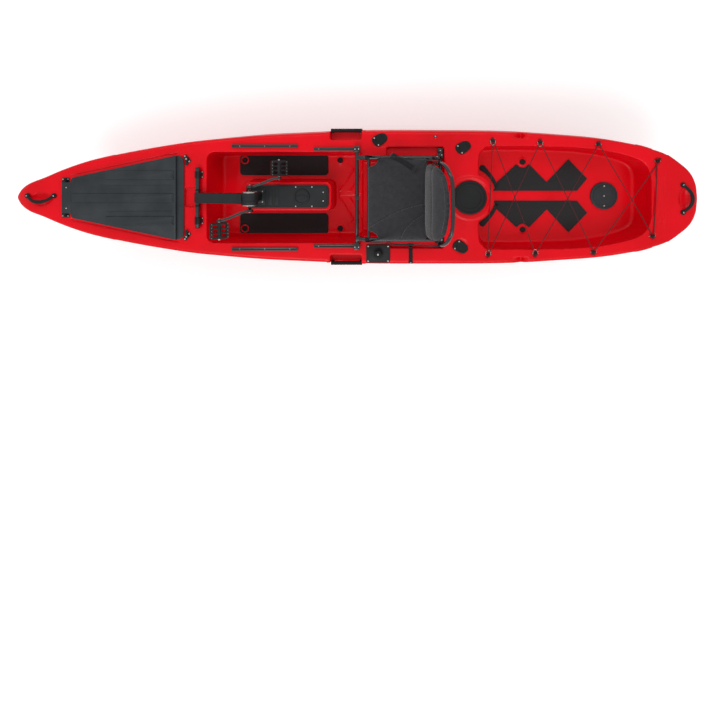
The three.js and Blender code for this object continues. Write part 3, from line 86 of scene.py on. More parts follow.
def link(finish, source, target):
    finish.node_tree.links.new(source, target)


def addNode(finish, kind, **values):
    made = finish.node_tree.nodes.new(kind)
    for key, value in values.items():
        if key in made.inputs:
            made.inputs[key].default_value = value
        else:
            setattr(made, key, value)
    return made


# Camera over the deck, as in the upper picture, and slightly to starboard of the centre line
camera = {
    "metresPerPixel": 0.00584, "deckPixel": (353, 197.5), "frame": 720, "sensor": 36,
    "height": 3.0, "along": 0.26, "aside": 0.26,
}


def addCamera():
    middle = camera["frame"] / 2
    slide = middle - camera["along"] / camera["metresPerPixel"] - camera["deckPixel"][0]
    drop = middle + camera["aside"] / camera["metresPerPixel"] - camera["deckPixel"][1]
    bpy.ops.object.camera_add(location=(camera["along"], camera["aside"], deckLevel + camera["height"]))
    made = bpy.context.object
    made.name = "deckCamera"
    made.rotation_euler = (0, 0, 0)
    made.data.sensor_width = camera["sensor"]
    made.data.lens = camera["sensor"] * camera["height"] / (camera["frame"] * camera["metresPerPixel"])
    made.data.shift_x = slide / camera["frame"]
    made.data.shift_y = -drop / camera["frame"]
    bpy.context.scene.camera = made


# Soft studio light, a pale floor and a white surround
studio = {
    "floorSize": 40, "floorLevel": -0.24, "floorColour": (0.8, 0.8, 0.8), "floorGlow": 0.16,
    "fill": 0.74, "sun": 0.6, "sunTurn": (34, -12, 0), "sunAngle": 26,
    "strips": (((-0.6, 2.2, 2.6), 4.6, 0.7, 26), ((0.6, -2.4, 2.4), 4.6, 0.7, 22)),
}


def addStudio():
    scene = bpy.context.scene
    scene.view_settings.view_transform = "Standard"
    world = bpy.data.worlds.new("paleSurround")
    scene.world = world
    world.use_nodes = True
    world.node_tree.nodes.clear()
    output = addNode(world, "ShaderNodeOutputWorld")
    path = addNode(world, "ShaderNodeLightPath")
    lit = addNode(world, "ShaderNodeBackground", Strength=studio["fill"], Color=white)
    seen = addNode(world, "ShaderNodeBackground", Color=white)
    either = addNode(world, "ShaderNodeMath", operation="MAXIMUM")
    mix = addNode(world, "ShaderNodeMixShader")
    for source, target in (
        (path.outputs["Is Camera Ray"], either.inputs[0]),
        (path.outputs["Is Transmission Ray"], either.inputs[1]),
        (either.outputs[0], mix.inputs[0]), (lit.outputs[0], mix.inputs[1]),
        (seen.outputs[0], mix.inputs[2]),
        (mix.outputs[0], output.inputs["Surface"]),
    ):
        link(world, source, target)
    bpy.ops.mesh.primitive_plane_add(size=studio["floorSize"], location=(0, 0, studio["floorLevel"]))
    floor = bpy.context.object
    floor.name = "studioFloor"
    paint, shader = startFinish("studioFloorPaint", studio["floorColour"], 1)
    shader.inputs["Specular IOR Level"].default_value = 0
    # the camera sees a whiter floor than the one that throws light back at the hull
    seen = addNode(paint, "ShaderNodeLightPath").outputs["Is Camera Ray"]
    whiter = addNode(paint, "ShaderNodeMix")
    whiter.data_type = "RGBA"
    whiter.inputs["A"].default_value = (*studio["floorColour"], 1)
    whiter.inputs["B"].default_value = white
    link(paint, seen, whiter.inputs["Factor"])
    link(paint, whiter.outputs["Result"], shader.inputs["Base Color"])
    glow = addNode(paint, "ShaderNodeMath", operation="MULTIPLY")
    glow.inputs[1].default_value = studio["floorGlow"]
    link(paint, seen, glow.inputs[0])
    shader.inputs["Emission Color"].default_value = white
    link(paint, glow.outputs[0], shader.inputs["Emission Strength"])
    floor.data.materials.append(paint)
    bpy.ops.object.light_add(type="SUN", rotation=[radians(turn) for turn in studio["sunTurn"]])
    sun = bpy.context.object
    sun.data.energy = studio["sun"]
    sun.data.angle = radians(studio["sunAngle"])
    for place, length, width, power in studio["strips"]:
        bpy.ops.object.light_add(type="AREA", location=place)
        strip = bpy.context.object
        strip.data.shape = "RECTANGLE"
        strip.data.size = length
        strip.data.size_y = width
        strip.data.energy = power
        aim = Vector((place[0], 0, deckLevel)) - Vector(place)
        strip.rotation_euler = aim.to_track_quat("-Z", "Y").to_euler()


addCamera()
addStudio()
print("camera and studio ready")


# Small modelling helpers
def clearSelection():
    if bpy.context.object and bpy.context.object.mode != "OBJECT":
        bpy.ops.object.mode_set(mode="OBJECT")
    bpy.ops.object.select_all(action="DESELECT")


def pick(*pieces):
    clearSelection()
    for piece in pieces:
        piece.select_set(True)
    bpy.context.view_layer.objects.active = pieces[0]


def settle(piece):
    pick(piece)
    bpy.ops.object.transform_apply(location=True, rotation=True, scale=True)
    return piece


def applyAll(piece):
    pick(piece)
    for modifier in list(piece.modifiers):
        bpy.ops.object.modifier_apply(modifier=modifier.name)
    return piece


def about(middle, half):
    return middle - half, middle + half


def addCylinder(axis, centre, radius, ends, sides=48, topRadius=None):
    # centre gives the two coordinates across the axis, in order
    clearSelection()
    middle = (ends[0] + ends[1]) / 2
    places = {
        "x": (middle, centre[0], centre[1]), "y": (centre[0], middle, centre[1]), "z": (*centre, middle),
    }
    turns = {"x": (0, pi / 2, 0), "y": (-pi / 2, 0, 0), "z": (0, 0, 0)}
    bpy.ops.mesh.primitive_cone_add(
        vertices=sides, radius1=radius, radius2=radius if topRadius is None else topRadius,
        depth=ends[1] - ends[0], location=places[axis], rotation=turns[axis],
    )
    return settle(bpy.context.object)


def addBox(xs, ys, zs):
    clearSelection()
    corners = [sorted(pair) for pair in (xs, ys, zs)]
    bpy.ops.mesh.primitive_cube_add(size=1, location=[sum(pair) / 2 for pair in corners])
    made = bpy.context.object
    made.scale = [high - low for low, high in corners]
    return settle(made)


def addPrism(outline, ends, plane="xy"):
    # a filled circle whose corners are moved to the outline, then drawn out to a solid
    clearSelection()
    bpy.ops.mesh.primitive_circle_add(vertices=len(outline), radius=1, fill_type="NGON")
    made = bpy.context.object
    low, high = ends
    for vertex, (a, b) in zip(made.data.vertices, outline):
        vertex.co = (a, b, low) if plane == "xy" else (a, low, b)
    bpy.ops.object.mode_set(mode="EDIT")
    bpy.ops.mesh.select_all(action="SELECT")
    step = (0, 0, high - low) if plane == "xy" else (0, high - low, 0)
    bpy.ops.mesh.extrude_region_move(TRANSFORM_OT_translate={"value": step})
    bpy.ops.mesh.select_all(action="SELECT")
    bpy.ops.mesh.normals_make_consistent(inside=False)
    bpy.ops.object.mode_set(mode="OBJECT")
    return made


def addLoft(rings):
    # a skin over rings of equal count, with its two ends filled
    count = len(rings[0])
    points = [tuple(point) for ring in rings for point in ring]
    faces = []
    for row in range(len(rings) - 1):
        for i in range(count):
            a, b = row * count + i, row * count + (i + 1) % count
            faces.append((a, b, b + count, a + count))
    faces.append(tuple(range(count))[::-1])
    faces.append(tuple(range(len(points) - count, len(points))))
    return addMesh("loft", points, faces)


def addMesh(name, points, faces):
    mesh = bpy.data.meshes.new(name)
    mesh.from_pydata(points, [], faces)
    made = bpy.data.objects.new(name, mesh)
    bpy.context.collection.objects.link(made)
    faceOut(made)
    return made


def faceOut(piece):
    pick(piece)
    bpy.ops.object.mode_set(mode="EDIT")
    bpy.ops.mesh.select_all(action="SELECT")
    bpy.ops.mesh.remove_doubles(threshold=1e-6)
    bpy.ops.mesh.normals_make_consistent(inside=False)
    bpy.ops.object.mode_set(mode="OBJECT")


def addTube(points, radius, sides=12, closed=False, smooth=True):
    # a round bar along a smooth line through the points
    curve = bpy.data.curves.new("tube", "CURVE")
    curve.dimensions = "3D"
    curve.bevel_depth = radius
    curve.bevel_resolution = max(1, sides // 4 - 1)
    curve.use_fill_caps = not closed
    line = curve.splines.new("POLY")
    route = smoothLine(points, 6, closed) if smooth else points
    line.points.add(len(route) - 1)
    for point, place in zip(line.points, route):
        point.co = (*place, 1)
    line.use_cyclic_u = closed
    made = bpy.data.objects.new("tube", curve)
    bpy.context.collection.objects.link(made)
    pick(made)
    bpy.ops.object.convert(target="MESH")
    made = bpy.context.object
    faceOut(made)
    return made


def smoothLine(points, steps, closed=False):
    # points along a curve that passes through every given point
    spots = [Vector(point) for point in points]
    count = len(spots)
    line = []
    for i in range(count if closed else count - 1):
        if closed:
            a, b, c, d = (spots[(i + k) % count] for k in (-1, 0, 1, 2))
        else:
            a, b = spots[max(i - 1, 0)], spots[i]
            c, d = spots[i + 1], spots[min(i + 2, count - 1)]
        for k in range(steps):
            t = k / steps
            line.append(0.5 * (
                2 * b + (c - a) * t + (2 * a - 5 * b + 4 * c - d) * t ** 2
                + (3 * b - a - 3 * c + d) * t ** 3
            ))
    if not closed:
        line.append(spots[-1])
    return line


def roundedRectangle(xs, ys, radius, steps=6):
    (x0, x1), (y0, y1) = sorted(xs), sorted(ys)
    outline = []
    for cx, cy, start in (
        (x1 - radius, y0 + radius, -90), (x1 - radius, y1 - radius, 0),
        (x0 + radius, y1 - radius, 90), (x0 + radius, y0 + radius, 180),
    ):
        for k in range(steps + 1):
            angle = radians(start + 90 * k / steps)
            outline.append((cx + radius * cos(angle), cy + radius * sin(angle)))
    return outline


def readPoints(mesh):
    points = np.empty(len(mesh.vertices) * 3)
    mesh.vertices.foreach_get("co", points)
    return points.reshape(-1, 3)


def writePoints(mesh, points):
    mesh.vertices.foreach_set("co", points.ravel())
    mesh.update()


def remesh(piece, size):
    modifier = piece.modifiers.new("voxels", "REMESH")
    modifier.mode = "VOXEL"
    modifier.voxel_size = size


def combine(piece, tools, how="DIFFERENCE"):
    for tool in tools:
        modifier = piece.modifiers.new("combine", "BOOLEAN")
        modifier.operation = how
        modifier.solver = "EXACT"
        modifier.object = tool
        applyAll(piece)
        bpy.data.objects.remove(tool)
    return piece


def joinPieces(pieces):
    pick(*pieces)
    if len(pieces) > 1:
        bpy.ops.object.join()
    return bpy.context.object


def softenEdges(piece, width, segments=2, angle=35):
    modifier = piece.modifiers.new("edges", "BEVEL")
    modifier.width = width
    modifier.segments = segments
    modifier.limit_method = "ANGLE"
    modifier.angle_limit = radians(angle)
    return applyAll(piece)


def finishPiece(piece, name, body, slot, stands=(), bevel=0.0, angle=35):
    # several pieces become one here
    if isinstance(piece, list):
        piece = joinPieces(piece)
    if bevel:
        softenEdges(piece, bevel)
    pick(piece)
    bpy.ops.object.shade_smooth_by_angle(angle=radians(angle))
    piece.name = name
    piece.data.name = name
    piece.data.materials.clear()
    piece.data.materials.append(finishes[slot])
    if body:
        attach(piece, body)
    if stands:
        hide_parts(*stands)
    return piece


# Finishes, each with its own grain in the object's coordinates
def objectPlace(finish, stretch=(1, 1, 1)):
    place = addNode(finish, "ShaderNodeTexCoord")
    if stretch == (1, 1, 1):
        return place.outputs["Object"]
    scaled = addNode(finish, "ShaderNodeMapping")
    scaled.inputs["Scale"].default_value = stretch
    link(finish, place.outputs["Object"], scaled.inputs["Vector"])
    return scaled.outputs["Vector"]


def shadeBetween(finish, shader, source, dark, light, low=0.35, high=0.65):
    ramp = addNode(finish, "ShaderNodeValToRGB")
    ramp.color_ramp.elements[0].position = low
    ramp.color_ramp.elements[0].color = (*dark, 1)
    ramp.color_ramp.elements[1].position = high
    ramp.color_ramp.elements[1].color = (*light, 1)
    link(finish, source, ramp.inputs["Fac"])
    link(finish, ramp.outputs["Color"], shader.inputs["Base Color"])
    return ramp.outputs["Color"]


def roughBetween(finish, shader, source, low, high):
    spread = addNode(finish, "ShaderNodeMapRange")
    spread.inputs["To Min"].default_value = low
    spread.inputs["To Max"].default_value = high
    link(finish, source, spread.inputs["Value"])
    link(finish, spread.outputs["Result"], shader.inputs["Roughness"])


def addRelief(finish, shader, source, strength, depth, under=None):
    bump = addNode(finish, "ShaderNodeBump", Strength=strength, Distance=depth)
    link(finish, source, bump.inputs["Height"])
    if under:
        link(finish, under, bump.inputs["Normal"])
    link(finish, bump.outputs["Normal"], shader.inputs["Normal"])
    return bump.outputs["Normal"]


def addNoise(finish, place, scale, detail=4.0, roughness=0.55):
    made = addNode(finish, "ShaderNodeTexNoise", Scale=scale, Detail=detail, Roughness=roughness)
    link(finish, place, made.inputs["Vector"])
    return made.outputs["Fac"]


hullFinish = {
    "red": (0.74, 0.0004, 0.008), "deepRed": (0.64, 0.0003, 0.006), "roughness": (0.24, 0.38),
    "specular": 0.12, "cloudScale": 3.2, "peelScale": 240, "coat": 0.08, "coatRoughness": 0.1,
}


def makeHullRed():
    finish, shader = startFinish("hull_red", hullFinish["red"], 0.25)
    place = objectPlace(finish)
    clouds = addNoise(finish, place, hullFinish["cloudScale"])
    shadeBetween(finish, shader, clouds, hullFinish["deepRed"], hullFinish["red"])
    scuffs = addNoise(finish, objectPlace(finish, (3, 22, 22)), 6.0, 8.0, 0.7)
    roughBetween(finish, shader, scuffs, *hullFinish["roughness"])
    peel = addNoise(finish, place, hullFinish["peelScale"], 2.0)
    addRelief(finish, shader, peel, 0.05, 0.0006)
    shader.inputs["Specular IOR Level"].default_value = hullFinish["specular"]
    shader.inputs["Coat Weight"].default_value = hullFinish["coat"]
    shader.inputs["Coat Roughness"].default_value = hullFinish["coatRoughness"]
    return finish


def makeMoulded(name, dark, light, roughness, grain=900, relief=0.25):
    # injection moulded plastic: a fine grain, faint flow marks and duller high spots
    finish, shader = startFinish(name, light, roughness)
    place = objectPlace(finish)
    flow = addNoise(finish, place, 7.0, 5.0)
    shadeBetween(finish, shader, flow, dark, light)
    pits = addNoise(finish, place, grain, 3.0, 0.6)
    roughBetween(finish, shader, pits, roughness - 0.08, roughness + 0.1)
    addRelief(finish, shader, pits, relief, 0.0004)
    shader.inputs["Specular IOR Level"].default_value = 0.3
    return finish


def makeCoatedTube(name, colour, roughness=0.3):
    finish, shader = startFinish(name, colour, roughness, 0.0)
    place = objectPlace(finish)
    speck = addNoise(finish, place, 1400, 2.0)
    addRelief(finish, shader, speck, 0.12, 0.0003)
    wear = addNoise(finish, place, 16.0, 6.0, 0.65)
    shadeBetween(finish, shader, wear, colour, tuple(value * 1.6 for value in colour), 0.45, 0.75)
    roughBetween(finish, shader, wear, roughness - 0.08, roughness + 0.08)
    shader.inputs["Coat Weight"].default_value = 0.25
    return finish


def makeSteel(name, colour, roughness=0.24):
    finish, shader = startFinish(name, colour, roughness, 1.0)
    brushed = addNoise(finish, objectPlace(finish, (1, 40, 40)), 60.0, 6.0, 0.7)
    roughBetween(finish, shader, brushed, roughness - 0.08, roughness + 0.14)
    shadeBetween(finish, shader, brushed, tuple(value * 0.82 for value in colour), colour)
    addRelief(finish, shader, brushed, 0.08, 0.0002)
    return finish


def makeRubber(name, dark, light):
    finish, shader = startFinish(name, light, 0.78)
    place = objectPlace(finish)
    bloom = addNoise(finish, place, 22.0, 6.0, 0.65)
    shadeBetween(finish, shader, bloom, dark, light)
    grain = addNoise(finish, place, 1100, 3.0)
    addRelief(finish, shader, grain, 0.3, 0.0004)
    roughBetween(finish, shader, bloom, 0.66, 0.86)
    shader.inputs["Specular IOR Level"].default_value = 0.3
    return finish


waveScale = pi / 10                # turns bands a metre into the wave texture's own scale
matFinish = {"dark": (0.006, 0.0065, 0.007), "light": (0.014, 0.015, 0.016), "grooves": 160, "relief": 0.5}


def makeFoamMat():
    # closed-cell foam with a brushed top and fine diamond cuts
    finish, shader = startFinish("foam_mat", matFinish["light"], 0.92)
    place = objectPlace(finish)
    brushed = addNoise(finish, objectPlace(finish, (1, 3, 1)), 420.0, 5.0, 0.7)
    shadeBetween(finish, shader, brushed, matFinish["dark"], matFinish["light"])
    cuts = None
    for direction in ("X", "Y"):
        wave = addNode(
            finish, "ShaderNodeTexWave", Scale=matFinish["grooves"] * waveScale, bands_direction=direction
        )
        link(finish, place, wave.inputs["Vector"])
        cuts = wave.outputs["Fac"] if cuts is None else multiplyValues(finish, cuts, wave.outputs["Fac"])
    under = addRelief(finish, shader, cuts, 0.15, 0.0005)
    addRelief(finish, shader, brushed, matFinish["relief"], 0.0006, under)
    shader.inputs["Sheen Weight"].default_value = 0.1
    return finish


def multiplyValues(finish, first, second, how="MULTIPLY"):
    both = addNode(finish, "ShaderNodeMath", operation=how)
    link(finish, first, both.inputs[0])
    link(finish, second, both.inputs[1])
    return both.outputs[0]


clothFinish = {
    "dark": (0.02, 0.02, 0.022), "light": (0.05, 0.05, 0.055), "threadsPerMetre": 620, "sheen": 0.22,
}


def makeWoven(name, dark, light, threads, sheen, relief=0.6):
    # two sets of threads that pass over and under each other, on the piece's own cloth coordinates
    finish, shader = startFinish(name, light, 0.88)
    shader.inputs["Specular IOR Level"].default_value = 0.25
    cloth = addNode(finish, "ShaderNodeUVMap", uv_map="cloth")
    height = None
    for direction in ("X", "Y"):
        wave = addNode(finish, "ShaderNodeTexWave", bands_direction=direction, Scale=threads * waveScale)
        wave.inputs["Distortion"].default_value = 0.4
        wave.inputs["Detail"].default_value = 1.0
        link(finish, cloth.outputs["UV"], wave.inputs["Vector"])
        height = wave.outputs["Fac"] if height is None else multiplyValues(
            finish, height, wave.outputs["Fac"], "ADD"
        )
    half = addNode(finish, "ShaderNodeMath", operation="MULTIPLY")
    half.inputs[1].default_value = 0.5
    link(finish, height, half.inputs[0])
    slub = addNoise(finish, objectPlace(finish), 45.0, 6.0, 0.7)
    mixed = multiplyValues(finish, half.outputs[0], slub)
    shadeBetween(finish, shader, mixed, dark, light, 0.1, 0.5)
    addRelief(finish, shader, half.outputs[0], relief, 0.0006)
    shader.inputs["Sheen Weight"].default_value = sheen
    shader.inputs["Sheen Roughness"].default_value = 0.4
    return finish


def makeCordFinish(name, dark, light):
    # a braided cover: slanted strands
    finish, shader = startFinish(name, light, 0.8)
    place = objectPlace(finish)
    strands = addNode(finish, "ShaderNodeTexWave", Scale=90.0, bands_direction="DIAGONAL")
    link(finish, place, strands.inputs["Vector"])
    shadeBetween(finish, shader, strands.outputs["Fac"], dark, light, 0.2, 0.8)
    addRelief(finish, shader, strands.outputs["Fac"], 0.5, 0.0005)
    return finish


def makeAllFinishes():
    made = {
        "hull_red": makeHullRed(),
        "charcoal_plastic": makeMoulded(
            "charcoal_plastic", (0.014, 0.018, 0.021), (0.024, 0.03, 0.034), 0.46
        ),
        "black_plastic": makeMoulded("black_plastic", (0.005, 0.0055, 0.006), (0.01, 0.011, 0.012), 0.46),
        "drive_black": makeMoulded("drive_black", (0.007, 0.008, 0.009), (0.013, 0.0145, 0.016), 0.44),
        "crank_black": makeCoatedTube("crank_black", (0.011, 0.011, 0.012), 0.24),
        "black_tube": makeCoatedTube("black_tube", (0.009, 0.009, 0.011), 0.2),
        "black_track": makeCoatedTube("black_track", (0.01, 0.0105, 0.012), 0.38),
        "bare_steel": makeSteel("bare_steel", (0.62, 0.6, 0.56)),
        "gear_steel": makeSteel("gear_steel", (0.4, 0.4, 0.41), 0.32),
        "black_rubber": makeRubber("black_rubber", (0.005, 0.005, 0.006), (0.011, 0.0115, 0.012)),
        "hatch_black": makeMoulded(
            "hatch_black", (0.003, 0.0035, 0.004), (0.007, 0.0075, 0.0085), 0.6, 500, 0.5
        ),
        "foam_mat": makeFoamMat(),
        "bungee_cord": makeCordFinish("bungee_cord", (0.03, 0.002, 0.003), (0.09, 0.008, 0.01)),
        "seat_fabric": makeWoven(
            "seat_fabric", clothFinish["dark"], clothFinish["light"],
            clothFinish["threadsPerMetre"], clothFinish["sheen"],
        ),
        "webbing": makeWoven("webbing", (0.006, 0.006, 0.007), (0.022, 0.022, 0.025), 700, 0.2),
        "stitching": makeMoulded("stitching", (0.12, 0.12, 0.125), (0.24, 0.24, 0.25), 0.8),
    }
    return made


finishes = makeAllFinishes()
print("finishes ready:", len(finishes))
for node in frame["record"]["subparts"]:
    mesh = frame["nodes"][node["node"]].data
    mesh.materials.clear()
    mesh.materials.append(finishes[node["material_slot"]])


# Hull: sections along its length, then everything moulded into it
hull = {
    "halfLength": 1.98, "halfBeam": 0.4, "rim": 0.022, "stationCount": 150, "ringSteps": 3,
    # place along, half beam, keel height, sheer height, fullness of the section
    "stations": (
        (-1, 0.02, 0.815, 0.914, 0), (-0.988, 0.118, 0.634, 0.948, 0), (-0.96, 0.208, 0.458, 0.99, 0),
        (-0.916, 0.292, 0.246, 1, 0.02), (-0.87, 0.39, 0.052, 1, 0.05), (-0.826, 0.472, -0.052, 1, 0.08),
        (-0.783, 0.54, -0.089, 1, 0.12), (-0.739, 0.595, -0.089, 1, 0.18), (-0.696, 0.643, -0.034, 1, 0.28),
        (-0.64, 0.7, 0.03, 1, 0.42), (-0.57, 0.765, 0.05, 1, 0.6), (-0.48, 0.837, 0.045, 1, 0.78),
        (-0.394, 0.883, 0.025, 1, 0.9), (-0.273, 0.935, 0.009, 1, 1), (-0.177, 0.96, 0, 1, 1),
        (0.025, 1, 0, 1, 1), (0.258, 1, 0.083, 1.025, 1), (0.455, 0.985, 0.166, 1.062, 1),
        (0.606, 0.938, 0.25, 1.083, 1), (0.732, 0.88, 0.326, 1.123, 1), (0.833, 0.785, 0.375, 1.175, 0.95),
        (0.864, 0.738, 0.39, 1.194, 0.95), (0.909, 0.655, 0.594, 1.212, 0.9),
        (0.944, 0.53, 0.757, 1.225, 0.8),
        (0.975, 0.388, 0.855, 1.228, 0.7), (0.992, 0.225, 0.942, 1.212, 0.5), (1, 0.03, 1.06, 1.163, 0.3),
    ),
    # corners of a sharp and of a full section from the keel to the sheer
    "sharpSection": (
        (0, 0), (0.1, 0.03), (0.26, 0.1), (0.45, 0.2), (0.57, 0.31), (0.66, 0.42), (0.74, 0.52),
        (0.83, 0.66), (0.9, 0.78), (0.965, 0.9), (1, 1),
    ),
    "fullSection": (
        (0, 0), (0.4, 0), (0.64, 0.012), (0.78, 0.05), (0.875, 0.125), (0.93, 0.235), (0.96, 0.32),
        (0.985, 0.47), (1, 0.6), (0.995, 0.8), (0.98, 1),
    ),
    "voxel": 0.0042, "quickVoxel": 0.008, "smoothing": 4, "triangles": 190000,
}
cockpit = {
    "ends": (-0.855, 0.06), "half": 0.266, "corner": 0.045, "floor": 0.09, "draft": 0.014, "fillet": 0.02
}
console = {"ends": (-0.665, -0.134), "half": 0.088, "corner": 0.036, "top": 0.25, "draft": 0.008}
driveWell = {"ends": (-0.632, -0.174), "half": 0.048, "corner": 0.016}
seatWell = {
    "ends": (-0.03, 0.485), "half": 0.222, "corner": 0.04, "floor": 0.18, "draft": 0.01, "fillet": 0.016
}
ledge = {"ends": (0.195, 0.531), "half": 0.297, "corner": 0.02, "floor": 0.3}
trough = {"ends": (-0.985, -0.905), "half": 0.057, "corner": 0.01, "floor": 0.305}
tank = {
    "front": 0.73, "length": 0.981, "half": 0.298, "floor": 0.2, "draft": 0.012, "fillet": 0.022,
    "outline": (
        (0, 0.7), (0.008, 0.86), (0.03, 0.95), (0.07, 1), (0.35, 1), (0.6, 0.97), (0.78, 0.89), (0.91, 0.77),
        (0.965, 0.66), (0.99, 0.52), (1, 0.36),
    ),
    "island": (0.68, 0.14),
}
sideNotch = {"ends": (-0.135, 0.05), "inner": 0.335, "floor": 0.238, "corner": 0.01}
scuppers = {
    "radius": 0.013, "places": ((-0.7, 0.215), (-0.1, 0.215), (1.02, 0.206)), "foot": -0.1, "top": 0.25,
}
rodHoles = {
    "radius": 0.024, "depth": 0.15, "tilt": 20, "sunk": 0.003, "pocket": 0.0475,
    "places": (("rod_cap_stbd_front", 0.156, 0.337), ("rod_cap_stbd_back", 0.642, 0.291),
               ("rod_cap_port_back", 0.625, -0.285)),
}
bowLid = {
    "front": -1.635, "back": -0.984, "frontHalf": 0.116, "backHalf": 0.254, "corner": 0.06,
    "base": 0.3253, "height": 0.028, "lip": 0.04, "lipHeight": 0.008, "tabHalf": 0.09,
    "slats": (-0.132, 0, 0.132), "slatWidth": 0.05, "slatHeight": 0.005, "frontInset": 0.014,
    "backInset": 0.012,
}
midHatch = {"x": 0.68, "hole": 0.08, "lid": 0.099, "sunk": 0.003, "depth": 0.15}
sternHatch = {"x": 1.513, "hole": 0.066, "lid": 0.083, "depth": 0.07}
eyes = {
    "x": (0.8, 1.072, 1.404, 1.731), "half": (0.33, 0.322, 0.311, 0.214), "stagger": 0.014, "sunk": 0.003,
    "pad": 0.022, "ring": 0.0135,
}
gunwaleNotch = {"x": 0.985, "fore": 0.07, "aft": 0.035, "depth": 0.045}
gripScoops = ((-1.822, -0.008, (0.055, 0.042, 0.02)), (1.895, 0, (0.035, 0.06, 0.02)))
sidePlate = {"x": 0.147, "y": -0.327, "length": 0.14, "width": 0.108, "sunk": 0.002}


def stationAt(place):
    rows = hull["stations"]
    after = next((i for i, row in enumerate(rows) if row[0] >= place), len(rows) - 1)
    after = max(after, 1)
    a, b = rows[max(after - 2, 0)], rows[after - 1]
    c, d = rows[after], rows[min(after + 1, len(rows) - 1)]
    span = c[0] - b[0]
    t = (place - b[0]) / span
    values = []
    for k in range(1, 5):
        inSlope = (c[k] - a[k]) / max(c[0] - a[0], 1e-6) * span
        outSlope = (d[k] - b[k]) / max(d[0] - b[0], 1e-6) * span
        values.append(
            (2 * t ** 3 - 3 * t ** 2 + 1) * b[k] + (t ** 3 - 2 * t ** 2 + t) * inSlope
            + (3 * t ** 2 - 2 * t ** 3) * c[k] + (t ** 3 - t ** 2) * outSlope
        )
    return values


def deckAt(x):
    rows = hull["stations"]
    place = x / hull["halfLength"]
    for low, high in zip(rows, rows[1:]):
        if low[0] <= place <= high[0]:
            return deckLevel * (low[3] + (high[3] - low[3]) * (place - low[0]) / (high[0] - low[0]))
    return deckLevel


def sectionRing(place):
    beam, keelShare, sheerShare, full = stationAt(place)
    halfBeam = beam * hull["halfBeam"]
    keel = keelShare * deckLevel
    sheer = (deckAt(place * hull["halfLength"]) + sheerShare * deckLevel) / 2
    rim = min(hull["rim"], halfBeam / 2, (sheer - keel) / 3)
    corners = []
    for (sharpY, sharpZ), (fullY, fullZ) in zip(hull["sharpSection"], hull["fullSection"]):
        corners.append((
            0, halfBeam * (sharpY + (fullY - sharpY) * full),
            keel + (sheer - rim - keel) * (sharpZ + (fullZ - sharpZ) * full),
        ))
    side = [(point.y, point.z) for point in smoothLine(corners, hull["ringSteps"])]
    top = side[-1][0]
    for angle in (15, 30, 45, 60, 75, 90):
        turn = radians(angle)
        side.append((top - rim + rim * cos(turn), sheer - rim + rim * sin(turn)))
    x = place * hull["halfLength"]
    starboard = [(x, y, z) for y, z in side]
    port = [(x, -y, z) for y, z in side[1:]][::-1]
    return starboard + [(x, 0, sheer)] + port


def tubTool(outline, floor, top, draft, fillet, steps=5):
    # a cutter with a round between its walls and its floor
    rings = []
    levels = []
    for k in range(steps + 1):
        angle = pi / 2 * k / steps
        levels.append((floor + fillet * (1 - cos(angle)), draft + fillet * (1 - sin(angle))))
    levels.append((deckLevel, 0))
    levels.append((top, 0))
    for z, inset in levels:
        shrunk = insetOutline(outline, inset) if inset else outline
        rings.append([(x, y, z) for x, y in shrunk])
    return addLoft(rings)


def addSlab(xs, ys, corner, ends):
    return addPrism(roundedRectangle(xs, ys, corner), ends)


def insetOutline(outline, amount):
    count = len(outline)
    area = sum(
        outline[i][0] * outline[(i + 1) % count][1] - outline[(i + 1) % count][0] * outline[i][1]
        for i in range(count)
    )
    sign = 1 if area > 0 else -1
    moved = []
    for i, (x, y) in enumerate(outline):
        before = Vector((x - outline[i - 1][0], y - outline[i - 1][1]))
        after = Vector((outline[(i + 1) % count][0] - x, outline[(i + 1) % count][1] - y))
        inward = Vector((-before.y, before.x)).normalized() + Vector((-after.y, after.x)).normalized()
        inward = inward.normalized() * sign
        reach = amount / max(inward.dot(Vector((-before.y, before.x)).normalized() * sign), 0.5)
        moved.append((x + inward.x * reach, y + inward.y * reach))
    return moved


def tankOutline():
    half = [
        (tank["front"] + along * tank["length"], -across * tank["half"], 0)
        for along, across in tank["outline"]
    ]
    curve = [(point.x, point.y) for point in smoothLine(half, 4)]
    return curve + [(x, -y) for x, y in curve][::-1]


def lidOutline(inset):
    front, back = bowLid["front"] + inset, bowLid["back"] - inset
    fore, aft = bowLid["frontHalf"] - inset, bowLid["backHalf"] - inset
    corner = bowLid["corner"]
    slope = (aft - fore) / (back - front)
    edge = Vector((back - front, aft - fore)).normalized()
    start = Vector((back, aft)) - edge * corner
    bend = []
    for k in range(9):
        t = k / 8
        point = start * (1 - t) ** 2 + Vector((back, aft)) * 2 * t * (1 - t)
        point = point + Vector((back, aft - corner)) * t ** 2
        bend.append((point.x, point.y))
    lead = [(front, fore - 0.012), (front + 0.004, fore - 0.003), (front + 0.016, fore + slope * 0.016)]
    side = lead + bend
    return side[::-1] + [(x, -y) for x, y in side]


def leaningCutter(x, y, radius, depth, above):
    made = addCylinder("z", (0, 0), radius, (-depth, above), 32)
    made.rotation_euler = (0, radians(rodHoles["tilt"]), 0)
    made.location = (x, y, deckAt(x) - rodHoles["sunk"])
    return settle(made)


def scoopTool(centre, radii):
    clearSelection()
    bpy.ops.mesh.primitive_uv_sphere_add(segments=32, ring_count=16, location=centre)
    made = bpy.context.object
    made.scale = radii
    return settle(made)


def plan(shape, steps=6):
    return roundedRectangle(shape["ends"], (-shape["half"], shape["half"]), shape["corner"], steps)


